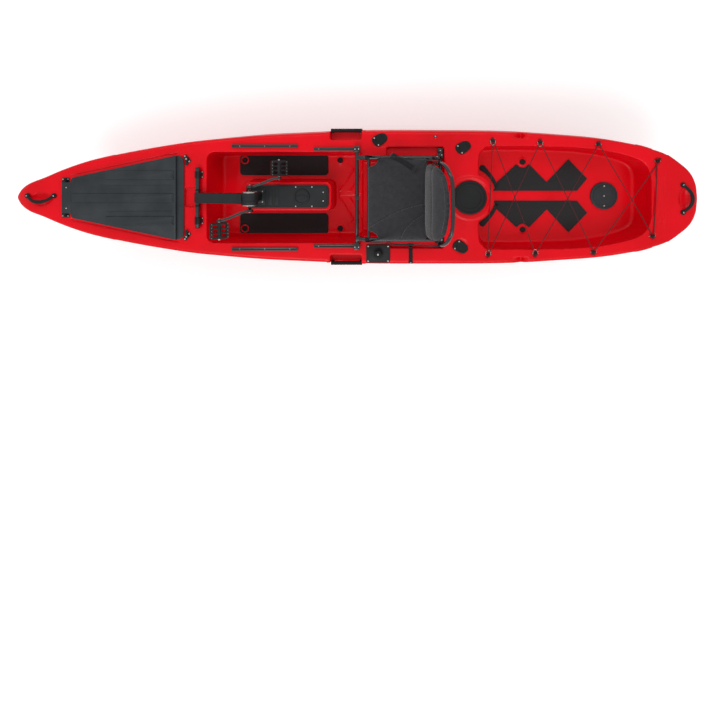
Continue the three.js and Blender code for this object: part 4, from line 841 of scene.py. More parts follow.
def hullCutters():
    above = deckLevel + 0.2
    cutters = []
    well, seatTub = (
        tubTool(plan(shape), shape["floor"], above, shape["draft"], shape["fillet"])
        for shape in (cockpit, seatWell)
    )
    pod = plan(console)
    top = console["top"]
    rings = []
    for z, inset in ((0, -console["draft"]), (top - 0.008, 0), (top - 0.003, 0.002), (top, 0.006)):
        rings.append([(x, y, z) for x, y in insetOutline(pod, inset)])
    cutters.append(combine(well, [addLoft(rings)]))
    cutters.append(seatTub)
    cutters.append(addPrism(plan(ledge), (ledge["floor"], above)))
    deckTank = tubTool(tankOutline(), tank["floor"], above, tank["draft"], tank["fillet"])
    islandX, islandRadius = tank["island"]
    island = addCylinder("z", (islandX, 0), islandRadius + 0.008, (0, above), 72, islandRadius)
    cutters.append(combine(deckTank, [island]))
    cutters.append(addPrism(plan(trough), (trough["floor"], above)))
    cutters.append(addPrism(plan(driveWell), (-0.3, console["top"] + 0.01)))
    for x, y in scuppers["places"]:
        for side in (1, -1):
            cutters.append(
                addCylinder("z", (x, side * y), scuppers["radius"], (scuppers["foot"], scuppers["top"]), 32)
            )
    for _, x, y in rodHoles["places"]:
        cutters.append(leaningCutter(x, y, rodHoles["radius"], rodHoles["depth"], 0.06))
        cutters.append(
            addCylinder("z", (x, y), rodHoles["pocket"], (deckAt(x) - rodHoles["sunk"], above), 48)
        )
    for side in (1, -1):
        notch = roundedRectangle(
            sideNotch["ends"], (side * sideNotch["inner"], side * 0.6), sideNotch["corner"],
        )
        cutters.append(addPrism(notch, (sideNotch["floor"], above)))
        x, fore, aft = (gunwaleNotch[key] for key in ("x", "fore", "aft"))
        deck = deckAt(x)
        groove = [
            (x - fore, above), (x - fore, 0.35), (x, deck - gunwaleNotch["depth"]),
            (x + aft * 0.5, deck - 0.012),
            (x + aft, deck), (x + aft, above),
        ]
        cutters.append(addPrism(groove, sorted((side * (tank["half"] + 0.05), side * 0.5)), "xz"))
    x, y, half, across = sidePlate["x"], sidePlate["y"], sidePlate["length"] / 2, sidePlate["width"] / 2
    recess = roundedRectangle(
        (x - half - 0.001, x + half + 0.001), (y - across - 0.001, y + across + 0.001), 0.004
    )
    cutters.append(addPrism(recess, (deckAt(x) - sidePlate["sunk"], above)))
    midSeat = deckAt(midHatch["x"]) - midHatch["sunk"]
    cutters.append(addCylinder("z", (midHatch["x"], 0), midHatch["lid"] + 0.001, (midSeat, above), 72))
    cutters.append(
        addCylinder("z", (midHatch["x"], 0), midHatch["hole"], (midSeat - midHatch["depth"], above), 64)
    )
    cutters.append(addCylinder(
        "z", (sternHatch["x"], 0), sternHatch["hole"],
        (tank["floor"] - sternHatch["depth"], tank["floor"] + 0.02), 64,
    ))
    cutters.append(addPrism(lidOutline(0.03), (deckLevel - 0.035, above)))
    cutters.append(addPrism(
        roundedRectangle((bowLid["front"] + 0.12, bowLid["back"] - 0.05), (-0.1, 0.1), 0.03), (0.1, above),
    ))
    for x, y, radii in gripScoops:
        cutters.append(scoopTool((x, y, max(deckAt(x), deckLevel) + 0.004), radii))
    for side in (1, -1):
        for x, half in zip(eyes["x"], eyes["half"]):
            place = x + side * eyes["stagger"]
            level = deckAt(place) - eyes["sunk"]
            cutters.append(addCylinder("z", (place, side * half), eyes["pad"], (level, above), 32))
    return cutters


def ridge(distance, width):
    # a smooth rise of height one that ends at the given width
    share = np.clip(1 - np.abs(distance) / width, 0, 1)
    return share * share * (3 - 2 * share)


def between(values, ends):
    return (values > ends[0]) & (values < ends[1])


# creases, ridges and rims that the mould gives: places, radii and widths, and how far each one stands out
crease = {
    "level": 0.098, "width": 0.009, "depth": 0.0035, "half": 0.12, "top": 0.3, "end": 1.85, "fade": 0.3,
    "sternRise": (0.2, 1.7, 1.4, 0.11), "bowRise": (0.6, 1.0, 0.012),
}
shoulder = {"level": 0.19, "bowRise": (0.9, 0.9, 0.09), "fade": 0.1, "half": 0.25, "depth": 0.003}
floorLines = {
    "x": (-0.17, 0.05), "half": 0.24, "above": 0.006, "spineWidth": 0.007, "spineFront": -0.1,
    "chevrons": (-0.115, -0.055), "slope": 0.62, "legWidth": 0.008, "legEnds": (0.02, 0.16),
    "height": 0.005,
}
wallSteps = {
    "x": (-0.75, -0.12), "half": (0.244, 0.275), "z": (0.11, 0.31), "levels": (0.155, 0.205, 0.255),
    "width": 0.012, "depth": 0.004,
}
hatchRing = {"radius": 0.121, "width": 0.016, "height": 0.005, "below": 0.012}
sternArcs = {
    "centre": 1.16, "radii": (0.56, 0.585, 0.61, 0.635), "width": 0.009, "height": 0.004,
    "x": (1.66, 1.86), "half": 0.13,
}
gutter = {"gap": 0.013, "width": 0.009, "depth": 0.005, "front": 0.01, "back": 0.03, "below": 0.01}
scupperRim = {"radius": 0.021, "width": 0.006, "height": 0.004, "above": 0.01, "low": 0.08}
wellSpaces = {"cockpit": ((-0.9, 0.56), 0.3), "tank": ((0.55, 1.72), 0.31), "recess": 0.02}


def mouldDetails(points):
    # how far each point of the hull moves for them
    x, y, z = points[:, 0], points[:, 1], points[:, 2]
    side = np.abs(y)
    move = np.zeros_like(points)
    # chine crease low on each side, rising to the stern
    start, run, power, rise = crease["sternRise"]
    level = crease["level"] + np.clip((x - start) / run, 0, 1) ** power * rise
    start, run, rise = crease["bowRise"]
    level = level + np.clip((-x - start) / run, 0, 1) * rise
    outer = (side > crease["half"]) & (z < crease["top"])
    fade = np.clip((crease["end"] - np.abs(x)) / crease["fade"], 0, 1)
    groove = ridge(z - level, crease["width"]) * outer * fade
    reach = wellSpaces["recess"]
    recess = between(x, (sideNotch["ends"][0] - reach, sideNotch["ends"][1] + reach))
    inner = recess & (z > sideNotch["floor"] - reach)
    for ends, half in (wellSpaces["cockpit"], wellSpaces["tank"]):
        inner = inner | (between(x, ends) & (side < half))
    move[:, 1] -= np.sign(y) * crease["depth"] * groove * ~inner
    # shoulder above the crease, where the side turns in to the sheer
    start, run, rise = shoulder["bowRise"]
    level = shoulder["level"] + np.clip((-x - start) / run, 0, 1) * rise
    above = np.clip((z - level) / shoulder["fade"], 0, 1) * (side > shoulder["half"]) * ~inner
    move[:, 1] -= np.sign(y) * shoulder["depth"] * above
    # chevrons and centre line behind the console on the cockpit floor
    floor = (z < cockpit["floor"] + floorLines["above"]) & between(x, floorLines["x"])
    floor = floor & (side < floorLines["half"])
    spine = ridge(side, floorLines["spineWidth"]) * (x > floorLines["spineFront"])
    for start in floorLines["chevrons"]:
        leg = (x - start) - side * floorLines["slope"]
        spine = spine + ridge(leg, floorLines["legWidth"]) * between(side, floorLines["legEnds"])
    move[:, 2] += floorLines["height"] * np.clip(spine, 0, 1) * floor
    # long steps in the cockpit walls beside the mats
    wall = between(side, wallSteps["half"]) & between(z, wallSteps["z"]) & between(x, wallSteps["x"])
    steps = sum(ridge(z - level, wallSteps["width"]) for level in wallSteps["levels"])
    move[:, 1] += np.sign(y) * wallSteps["depth"] * steps * wall
    # ring moulded round the middle hatch
    ring = np.hypot(x - midHatch["x"], y)
    onDeck = z > deckAt(midHatch["x"]) - hatchRing["below"]
    move[:, 2] += hatchRing["height"] * ridge(ring - hatchRing["radius"], hatchRing["width"]) * onDeck
    # arcs across the stern end of the tank well
    arcs = np.zeros(len(points))
    for radius in sternArcs["radii"]:
        arcs += ridge(np.hypot(x - sternArcs["centre"], y) - radius, sternArcs["width"])
    sternShelf = between(x, sternArcs["x"]) & (side < sternArcs["half"])
    move[:, 2] += sternArcs["height"] * np.clip(arcs, 0, 1) * sternShelf
    # gutter round the bow lid
    slope = (bowLid["backHalf"] - bowLid["frontHalf"]) / (bowLid["back"] - bowLid["front"])
    edge = (side - bowLid["frontHalf"] - slope * (x - bowLid["front"])) / hypot(1, slope)
    along = between(x, (bowLid["front"] - gutter["front"], bowLid["back"] - gutter["back"]))
    along = along & (z > deckLevel - gutter["below"])
    move[:, 2] -= gutter["depth"] * ridge(edge - gutter["gap"], gutter["width"]) * along
    # scupper rims on both floors
    onFloor = (z < tank["floor"] + scupperRim["above"]) & (z > scupperRim["low"])
    for sx, sy in scuppers["places"]:
        rim = np.hypot(x - sx, side - sy)
        move[:, 2] += scupperRim["height"] * ridge(rim - scupperRim["radius"], scupperRim["width"]) * onFloor
    return move


def buildHull():
    count = hull["stationCount"]
    places = [-1 + 2 * k / (count - 1) for k in range(count)]
    spread = [copysign(1 - (1 - abs(place)) ** 1.35, place) for place in places]
    body = addLoft([sectionRing(place) for place in spread])
    print("hull skin drawn")
    combine(body, hullCutters())
    print("hull recesses cut")
    remesh(body, hull["voxel"])
    modifier = body.modifiers.new("ease", "SMOOTH")
    modifier.factor = 0.5
    modifier.iterations = hull["smoothing"]
    applyAll(body)
    mesh = body.data
    points = readPoints(mesh)
    writePoints(mesh, points + mouldDetails(points))
    share = hull["triangles"] / (2 * len(mesh.polygons))
    if share < 1:
        modifier = body.modifiers.new("thin", "DECIMATE")
        modifier.ratio = share
        applyAll(body)
    finishPiece(body, "hullShell", "hull", "hull_red", ("hull_bow", "hull_middle", "hull_stern"), angle=60)
    print("hull triangles", sum(len(face.vertices) - 2 for face in body.data.polygons))


buildHull()


def copyNode(name):
    # a merged copy of a CAD piece, to be finished with its own edges
    made = frame["nodes"][name].copy()
    made.data = made.data.copy()
    made.parent = None
    made.matrix_world = Matrix()
    bpy.context.collection.objects.link(made)
    faceOut(made)
    return made


def turnAbout(piece, degrees, axis, centre):
    place = Vector(centre)
    turn = Matrix.Translation(place) @ Matrix.Rotation(radians(degrees), 4, axis)
    piece.data.transform(turn @ Matrix.Translation(-place))
    return piece


def shiftBy(piece, offset):
    piece.data.transform(Matrix.Translation(offset))


def copyPiece(piece):
    made = piece.copy()
    made.data = piece.data.copy()
    bpy.context.collection.objects.link(made)
    return made


def chamferBlock(xs, ys, zs, width=0.002, segments=3):
    return softenEdges(addBox(xs, ys, zs), width, segments)


def addTurned(axis, centre, profile, sides=64):
    # rows of place along the axis and radius, the ends on the axis
    rings = []
    for along, radius in profile:
        ring = []
        for k in range(sides):
            turn = 2 * pi * k / sides
            a, b = max(radius, 1e-5) * cos(turn), max(radius, 1e-5) * sin(turn)
            ring.append({
                "x": (centre[0] + along, centre[1] + a, centre[2] + b),
                "y": (centre[0] + a, centre[1] + along, centre[2] + b),
                "z": (centre[0] + a, centre[1] + b, centre[2] + along),
            }[axis])
        rings.append(ring)
    return addLoft(rings)


def makeScrew():
    # a pan head with a cross recess, one millimetre in radius
    head = addCylinder("z", (0, 0), 0.001, (0, 0.0006), 24)
    softenEdges(head, 0.0003, 3)
    cuts = [
        addBox((-0.0006, 0.0006), (-0.00013, 0.00013), (0.0003, 0.001)),
        addBox((-0.00013, 0.00013), (-0.0006, 0.0006), (0.0003, 0.001)),
    ]
    return combine(head, cuts)


screwHead = makeScrew()
facing = {1: "y", -1: "-y"}
screwTilt = {
    "z": (0, "X"), "-z": (180, "X"), "y": (-90, "X"), "-y": (90, "X"), "x": (90, "Y"), "-x": (-90, "Y")
}


def addScrews(name, body, places, radius=0.0042, slot="bare_steel"):
    # places are x, y, z and the way the head faces
    heads = []
    for number, (x, y, z, *way) in enumerate(places):
        head = copyPiece(screwHead)
        head.data.transform(Matrix.Scale(radius * 1000, 4))
        turnAbout(head, 25 * number, "Z", (0, 0, 0))
        degrees, axis = screwTilt[way[0] if way else "z"]
        turnAbout(head, degrees, axis, (0, 0, 0))
        shiftBy(head, (x, y, z))
        heads.append(head)
    return finishPiece(heads, name, body, slot, angle=30)


# Bow hatch: a raised lid with three slats, a low lip behind and a hinge tab in front
lidParts = {
    "hingeLevel": 0.3396, "hingeX": -1.676, "hingeRadius": 0.014, "edge": 0.007,
    "notch": (0.007, 0.016, 0.0035),
    "groove": (0.075, 0.0022, 0.0018), "plate": 0.004, "bracket": (0.02, 0.026), "ear": 0.008, "pin": 0.004,
}


def addLid():
    base, top = bowLid["base"], bowLid["base"] + bowLid["height"]
    edge = lidParts["edge"]
    levels = ((base, 0.001), (base + 0.001, 0), (top - edge, 0), (top - edge * 0.45, 0.0018), (top, edge))
    lid = addLoft([[(x, y, z) for x, y in lidOutline(inset)] for z, inset in levels])
    lipFront = bowLid["back"] - bowLid["lip"]
    lipTop = base + bowLid["lipHeight"]
    cuts = [addBox((lipFront, bowLid["back"] + 0.02), (-0.3, 0.3), (lipTop, top + 0.05))]
    for y in (-lidParts["groove"][0], lidParts["groove"][0]):
        wide, deep = lidParts["groove"][1:]
        cuts.append(addBox((-1.42, lipFront - 0.02), about(y, wide), (top - deep, top + 0.01)))
    combine(lid, cuts)
    slope = (bowLid["backHalf"] - bowLid["frontHalf"]) / (bowLid["back"] - bowLid["front"])
    extras = []
    for middle in bowLid["slats"]:
        inward = abs(middle) + bowLid["slatWidth"] / 2
        start = max(bowLid["front"], bowLid["front"] + (inward - bowLid["frontHalf"]) / slope)
        ends = (start + bowLid["frontInset"], lipFront - bowLid["backInset"])
        sides = about(middle, bowLid["slatWidth"] / 2)
        slat = chamferBlock(ends, sides, (top - 0.003, top + bowLid["slatHeight"]), 0.0025, 3)
        run, wide, deep = lidParts["notch"]
        notch = addBox(
            (ends[1] - run, ends[1] + 0.01), about(middle, wide), (top + deep - 0.002, top + 0.02)
        )
        extras.append(combine(slat, [notch]))
    level, x = lidParts["hingeLevel"], lidParts["hingeX"]
    radius = lidParts["hingeRadius"]
    extras.append(
        chamferBlock(
            (x, bowLid["front"] + 0.006), (-bowLid["tabHalf"], bowLid["tabHalf"]), (level, level + radius)
        )
    )
    barrel = addCylinder("y", (x, level), radius, (-bowLid["tabHalf"], bowLid["tabHalf"]), 40)
    extras.append(softenEdges(barrel, 0.0015, 2))
    finishPiece([lid] + extras, "bowLid", "bow_lid", "charcoal_plastic", ("bow_hatch_lid",), 0.0009)
    addScrews("bowLidScrews", "bow_lid", [(x + 0.02, y, level + radius) for y in (-0.06, 0.06)], 0.0038)


def addLidHardware():
    x, level = lidParts["hingeX"], lidParts["hingeLevel"]
    long, wide = lidParts["bracket"]
    for side, sign in bothSides:
        inner = sign * (bowLid["tabHalf"] + 0.0006)
        foot = chamferBlock(
            about(x, long), (inner, inner + sign * wide),
            (bowLid["base"], bowLid["base"] + lidParts["plate"]), 0.0012
        )
        ear = addCylinder(
            "y", (x, level), lidParts["hingeRadius"] - fit, sorted((inner, inner + sign * lidParts["ear"])),
            40
        )
        stem = addBox(about(x, 0.013), (inner, inner + sign * lidParts["ear"]), (bowLid["base"], level))
        low = bowLid["base"] + 0.003
        gusset = [(x - 0.012, low), (x + 0.012, low), (x, level + 0.006)]
        web = addPrism(gusset, sorted((inner + sign * 0.006, inner + sign * 0.02)), "xz")
        pin = addCylinder(
            "y", (x, level), lidParts["pin"], sorted((inner - sign * 0.012, inner + sign * 0.0095)), 24
        )
        finishPiece(
            [foot, ear, stem, web, pin], "lidHinge_" + side, "hull", "black_plastic",
            ("lid_hinge_" + side,), 0.0006
        )
        screws = [
            (x + turn * 0.0145, inner + sign * 0.0165, bowLid["base"] + lidParts["plate"])
            for turn in (-1, 1)
        ]
        addScrews("lidHingeScrews_" + side, "hull", screws, 0.0036)
        y = sign * lidCatch["half"]
        top = lidCatch["base"] + lidCatch["height"]
        boss = addTurned("z", (lidCatch["x"], y, 0), (
            (lidCatch["base"], 0), (lidCatch["base"], 0.0105), (top - 0.003, lidCatch["boss"]),
            (top - 0.0006, lidCatch["boss"] - 0.0006), (top, lidCatch["boss"] - 0.002), (top, 0),
        ), 40)
        arm = addSlab(
            about(lidCatch["x"], 0.007), (y, y - sign * lidCatch["arm"]), 0.0065,
            (top - lidCatch["armHeight"], top)
        )
        softenEdges(arm, 0.0015, 2)
        finishPiece(
            [boss, arm], "lidCatch_" + side, "catch_" + side, "black_plastic", ("lid_catch_" + side,)
        )
        addScrews("lidCatchScrew_" + side, "catch_" + side, [(lidCatch["x"], y, top)], 0.0048)
        # the plate under the catch lies across the corner of the lid
        length, width, thick = lidCatch["plate"]
        plate = addSlab((-length, length), (-width, width), width * 0.9, (0, thick))
        combine(
            softenEdges(plate, 0.0008, 2),
            [addCylinder("z", (0, 0), lidCatch["boss"] + 0.001, (-0.01, 0.02), 48)]
        )
        turnAbout(plate, -sign * lidCatch["turn"], "Z", (0, 0, 0))
        shiftBy(plate, (lidCatch["x"], y, lidCatch["base"]))
        finishPiece(plate, "catchPlate_" + side, "hull", "black_plastic", angle=35)
        reach = lidCatch["plateScrew"]
        turn = radians(-sign * lidCatch["turn"])
        face = lidCatch["base"] + thick
        places = [
            (lidCatch["x"] + way * reach * cos(turn), y + way * reach * sin(turn), face) for way in (-1, 1)
        ]
        addScrews("catchPlateScrews_" + side, "hull", places, 0.0048)


lidCatch = {
    "x": -0.968, "half": 0.226, "boss": 0.011, "base": 0.3253, "height": 0.015, "arm": 0.04,
    "armHeight": 0.006, "plate": (0.028, 0.0125, 0.003), "plateScrew": 0.0195, "turn": 51,
}
addLid()
addLidHardware()
print("bow hatch ready")


# Cross bar and its two clamps
crossBar = {"x": -0.899, "z": 0.345, "radius": 0.012, "half": 0.172, "cap": 0.004}
barClamp = {"half": 0.134, "width": 0.04, "long": 0.023, "foot": 0.0065, "round": 0.017}


def addCrossBar():
    x, z = crossBar["x"], crossBar["z"]
    bar = softenEdges(
        addCylinder("y", (x, z), crossBar["radius"], (-crossBar["half"], crossBar["half"]), 48), 0.0012, 2
    )
    finishPiece(bar, "driveCrossBar", "hull", "black_tube", ("drive_cross_bar",))
    caps = []
    for sign in (1, -1):
        ends = sorted((sign * crossBar["half"], sign * (crossBar["half"] + crossBar["cap"])))
        caps.append(softenEdges(addCylinder("y", (x, z), crossBar["radius"] + 0.0012, ends, 40), 0.0015, 3))
        caps.append(addCylinder("y", (x, z), 0.0135, sorted((sign * 0.04, sign * 0.052)), 48))
    finishPiece(caps, "crossBarCaps", "hull", "black_rubber")
    for side, sign in bothSides:
        y = sign * barClamp["half"]
        low = deckLevel + fit
        arch = [(x + barClamp["long"], low), (x + barClamp["long"], low + barClamp["foot"])]
        for k in range(13):
            turn = radians(-12 + 204 * k / 12)
            arch.append((x + 0.0165 * cos(turn), z + barClamp["round"] * sin(turn)))
        arch += [(x - barClamp["long"], low + barClamp["foot"]), (x - barClamp["long"], low)]
        clamp = addPrism(arch, about(y, barClamp["width"] / 2), "xz")
        combine(clamp, [addCylinder("y", (x, z), crossBar["radius"] + fit, about(y, 0.03), 48)])
        slot = addBox(about(x, 0.001), about(y, 0.03), (z + 0.008, z + 0.03))
        finishPiece(
            combine(clamp, [slot]), "barClamp_" + side, "hull", "black_plastic", ("bar_clamp_" + side,),
            0.0013
        )
        screws = [
            (x + 0.0195, y + shift, low + barClamp["foot"]) for shift in (-0.0145, 0.0145)
        ]
        addScrews("barClampScrews_" + side, "hull", screws, 0.0046)


addCrossBar()
print("cross bar ready")


# Drive: the stay arm, the round head, the cranks, the well cover and the leg
drive = {
    "x": -0.58, "axle": 0.405, "stayHalf": 0.029, "stayWall": 0.004, "eye": 0.018, "headRadius": 0.046,
    "headHalf": 0.034, "coverRadius": 0.042, "coverTop": 0.2623, "leg": -0.082, "top": 0.25,
}
stayHoles = ((0.095, 0.008), (0.1418, 0.0116), (0.1922, 0.0152), (0.2462, 0.0188))


def addStay():
    x, z = crossBar["x"], crossBar["z"]
    end = drive["x"] - drive["headRadius"] - fit
    rise = drive["axle"] - z
    outline = [
        (x, z - 0.0167), (end + 0.004, drive["axle"] - 0.034), (end + 0.004, drive["axle"] + 0.02),
        (x, z + 0.021)
    ]
    arm = addPrism(outline, (-drive["stayHalf"], drive["stayHalf"]), "xz")
    web = [
        (x + 0.021, z - 0.03), (end - 0.008, drive["axle"] - 0.08), (end - 0.008, drive["axle"] + 0.012),
        (x + 0.021, z + 0.013),
    ]
    inner = drive["stayHalf"] - drive["stayWall"]
    cuts = [addPrism(web, (-inner, inner), "xz")]
    holes = [
        ((x + along, z + rise * along / (end - x) - 0.0079 - 0.0006 * number), radius)
        for number, (along, radius) in enumerate(stayHoles)
    ]
    for place, radius in holes:
        cuts.append(addCylinder("y", place, radius, (-0.05, 0.05), 40))
    cuts.append(addCylinder("y", (drive["x"], drive["axle"]), drive["headRadius"] + fit, (-0.05, 0.05), 72))
    combine(arm, cuts)
    eye = addCylinder("y", (x, z), drive["eye"], (-drive["stayHalf"], drive["stayHalf"]), 48)
    combine(arm, [eye], "UNION")
    combine(arm, [addCylinder("y", (x, z), crossBar["radius"] + fit, (-0.05, 0.05), 48)])
    finishPiece(arm, "stayArm", "drive", "drive_black", ("stay_arm",), 0.0012)
    rings = []
    for place, radius in holes:
        for sign in (1, -1):
            ring = addCylinder("y", place, radius + 0.0022, sorted((sign * 0.0285, sign * 0.0302)), 48)
            rings.append(combine(ring, [addCylinder("y", place, radius + 0.0002, (-0.05, 0.05), 48)]))
    finishPiece(rings, "stayHoleRims", "drive", "drive_black", (), 0.0005)


def addHead():
    x, axle = drive["x"], drive["axle"]
    radius, half = drive["headRadius"], drive["headHalf"]
    barrel = addTurned("y", (x, 0, axle), (
        (-half, 0.036), (-half, radius - 0.004), (-half + 0.001, radius - 0.001), (-half + 0.004, radius),
        (-0.014, radius), (-0.0125, radius - 0.0018), (0.0125, radius - 0.0018), (0.014, radius),
        (half - 0.004, radius), (half - 0.001, radius - 0.001), (half, radius - 0.004), (half, 0.036),
    ), 80)
    foot = drive["coverTop"] + fit
    column = addSlab(about(x, 0.032), (-0.027, 0.027), 0.01, (foot, axle - 0.02))
    flange = addSlab(about(x, 0.045), (-0.038, 0.038), 0.014, (foot, foot + 0.007))
    ribs = [addBox(about(x, 0.0355), about(y, 0.0016), (foot, axle - 0.03)) for y in (-0.014, 0, 0.014)]
    saddle = addSlab((x - 0.05, x - 0.02), (-0.031, 0.031), 0.006, (axle - 0.034, axle + 0.012))
    combine(saddle, [addCylinder("y", (x, axle), radius - 0.003, (-0.05, 0.05), 64)])
    softenEdges(column, 0.0015, 2)
    softenEdges(flange, 0.0018, 2)
    parts = [barrel, column, flange, *ribs, saddle]
    finishPiece(parts, "driveHead", "drive", "drive_black", ("drive_head",))
    bolts = [(x + along * 0.037, across * 0.03, foot + 0.007) for along in (-1, 1) for across in (-1, 1)]
    addScrews("headFlangeBolts", "drive", bolts, 0.0048)
    for side, sign in bothSides:
        inside = half + fit
        disc = addTurned("y", (x, 0, axle), [(sign * (inside + along), r) for along, r in (
            (0, 0.0095), (0, drive["coverRadius"]), (0.003, drive["coverRadius"]), (0.0048, 0.0405),
            (0.0048, 0.031), (0.0036, 0.0295), (0.0036, 0.021), (0.006, 0.0195), (0.006, 0.0095),
        )], 80)
        combine(disc, [addCylinder("y", (x, axle), 0.0094, (-0.06, 0.06), 40)])
        finishPiece(disc, "headCover_" + side, "drive", "bare_steel", ("head_cover_" + side,), 0.0004)
        turns = [radians(30 + 60 * k) for k in range(6)]
        way = facing[sign]
        places = [
            (x + 0.0357 * cos(turn), sign * (inside + 0.0048), axle + 0.0357 * sin(turn), way)
            for turn in turns
        ]
        addScrews("headCoverScrews_" + side, "drive", places, 0.0032)


crank = {
    "length": 0.165, "angle": 25, "start": 0.0688, "out": 0.046, "thick": 0.013, "width": 0.028,
    "tip": 0.022, "boss": 0.019, "tipBoss": 0.014, "spindle": 0.006, "spindleLength": 0.108,
}
pedal = {
    "length": 0.1, "width": 0.092, "thick": 0.022, "rim": 0.012, "bar": 0.007, "tilt": 35, "hub": 0.011,
    "clearance": 0.004
}


def addCranks():
    x, axle = drive["x"], drive["axle"]
    finishPiece(copyNode("crank_axle"), "crankAxle", "crank", "bare_steel", ("crank_axle",))
    turn = radians(crank["angle"])
    for side, sign in bothSides:
        dx, dz = sign * crank["length"] * cos(turn), -sign * crank["length"] * sin(turn)
        start, end = sign * crank["start"], sign * (crank["start"] + crank["out"])
        rings = []
        normal = Vector((-dz, 0, dx)).normalized()
        for k in range(17):
            t = k / 16
            ease = t * t * (3 - 2 * t)
            centre = Vector((x + dx * t, start + (end - start) * ease, axle + dz * t))
            width = crank["width"] + (crank["tip"] - crank["width"]) * t - 0.004 * sin(pi * t)
            rings.append([
                centre + normal * (across * width / 2) + Vector((0, out * crank["thick"] / 2, 0))
                for across, out in (
                    (1, 0.55), (0.86, 1), (0.3, 1), (0.24, 0.82), (-0.24, 0.82), (-0.3, 1), (-0.86, 1),
                    (-1, 0.55), (-1, -0.55), (-0.86, -1), (0.86, -1), (1, -0.55),
                )
            ])
        parts = [addLoft(rings)]
        half = crank["thick"] / 2
        for cx, cz, cy, radius in (
            (x, axle, start, crank["boss"]), (x + dx, axle + dz, end, crank["tipBoss"])
        ):
            ends = about(cy, half)
            parts.append(softenEdges(addCylinder("y", (cx, cz), radius, ends, 56), 0.0022, 3))
        finishPiece(parts, "crankArm_" + side, "crank", "crank_black", ("crank_arm_" + side,), angle=40)
        spindle = addCylinder(
            "y", (x + dx, axle + dz), crank["spindle"], sorted((end, end + sign * crank["spindleLength"])),
            32
        )
        collar = addCylinder(
            "y", (x + dx, axle + dz), 0.0082, sorted((end + sign * half, end + sign * (half + 0.003))), 6
        )
        finishPiece([spindle, collar], "pedalSpindle_" + side, "crank", "bare_steel", (), 0.0008)
        way = facing[sign]
        cap = [(x, start + sign * half, axle, way)]
        addScrews("crankBolt_" + side, "crank", cap, 0.0075)
        addScrews(
            "crankTipBolt_" + side, "crank", [(x + dx, end - sign * half, axle + dz, facing[-sign])], 0.0055
        )
        addPedal(side, sign, (x + dx, end + sign * (half + pedal["clearance"]), axle + dz))


def addPedal(side, sign, place):
    ys = sorted((place[1], place[1] + sign * pedal["width"]))
    half, thick, rim = pedal["length"] / 2, pedal["thick"] / 2, pedal["rim"]
    cage = addSlab((-half, half), ys, 0.014, (-thick, thick))
    wide = (pedal["width"] - rim * 2 - pedal["bar"] * 2) / 3
    cuts = []
    for fore in (-1, 1):
        for k in range(3):
            low = ys[0] + rim + k * (wide + pedal["bar"])
            xs = (fore * pedal["hub"], fore * (half - rim))
            cuts.append(addPrism(roundedRectangle(xs, (low, low + wide), 0.005, 3), (-0.03, 0.03)))
    for level in (-1, 1):
        waist = addBox((-0.03, 0.03), (ys[0] + 0.02, ys[1] - 0.02), (level * 0.0075, level * 0.03))
        cuts.append(waist)
    combine(cage, cuts)
    softenEdges(cage, 0.001, 2)
    hub = addCylinder("y", (0, 0), pedal["hub"], (ys[0] + 0.0004, ys[1] - 0.0004), 40)
    parts = [cage, softenEdges(hub, 0.0012, 2)]
    combine(parts[1], [addCylinder("y", (0, 0), crank["spindle"] + fit, (ys[0] - 0.01, ys[1] + 0.01), 32)])
    studs = []
    for across in (0.1, 0.3, 0.5, 0.7, 0.9):
        for fore in (-1, 1):
            y = ys[0] + across * pedal["width"]
            studs.append(
                addCylinder(
                    "z", (fore * (half - rim / 2), y), 0.0016, (-thick - 0.0015, thick + 0.0015), 12
                )
            )
    cage = joinPieces(parts)
    pins = joinPieces(studs)
    for piece in (cage, pins):
        turnAbout(piece, pedal["tilt"], "Y", (0, 0, 0))
        shiftBy(piece, (place[0], 0, place[2]))
    body = "pedal_right" if sign > 0 else "pedal_left"
    finishPiece(cage, "pedal_" + side, body, "black_plastic", ("pedal_" + side,))
    finishPiece(pins, "pedalPins_" + side, body, "bare_steel")


wellCover = {
    "ends": (-0.644, -0.15), "half": 0.071, "corner": 0.03, "base": 0.2503, "cap": (-0.31, 0.045),
    "capTop": 0.2673
}


def addWellCover():
    low, high = wellCover["base"], drive["coverTop"]
    outline = plan(wellCover, 8)
    levels = (
        (low, 0.0008), (low + 0.001, 0), (high - 0.005, 0), (high - 0.0018, 0.0016), (high, 0.005),
        (high, 0.012), (high - 0.002, 0.014)
    )
    plate = addLoft(
        [
            [(x, y, z) for x, y in (insetOutline(outline, inset) if inset else outline)]
            for z, inset in levels
        ]
    )
    capX, radius = wellCover["cap"]
    well = addCylinder("z", (drive["x"], 0), 0.0092, (0.2, 0.3), 32)
    combine(plate, [well])
    top = wellCover["capTop"]
    ring = addTurned("z", (capX, 0, 0), (
        (high - 0.004, 0), (high - 0.004, radius), (top - 0.0018, radius), (top - 0.0004, radius - 0.0008),
        (top, radius - 0.002),
        (top, radius - 0.0045), (top - 0.0008, radius - 0.0056), (high, radius - 0.0066), (high, 0.017),
        (high + 0.0015, 0.0155),
        (high + 0.0015, 0),
    ), 80)
    grip = chamferBlock(about(capX, 0.032), (-0.0042, 0.0042), (high - 0.001, high + 0.004), 0.0016)
    ribs = [
        chamferBlock(about(x, 0.012), (-0.05, 0.05), (high - 0.003, high + 0.0006), 0.0008)
        for x in (-0.46, -0.5, -0.54)
    ]
    finishPiece([plate, ring, grip, *ribs], "wellCover", "drive", "drive_black", ("well_cover",))
    places = [
        (-0.347, -0.0575, high), (-0.183, -0.026, high), (-0.183, 0.026, high), (-0.347, 0.0575, high),
        (-0.25, 0.0575, high), (-0.25, -0.0575, high)
    ]
    addScrews("wellCoverScrews", "drive", places, 0.0042)


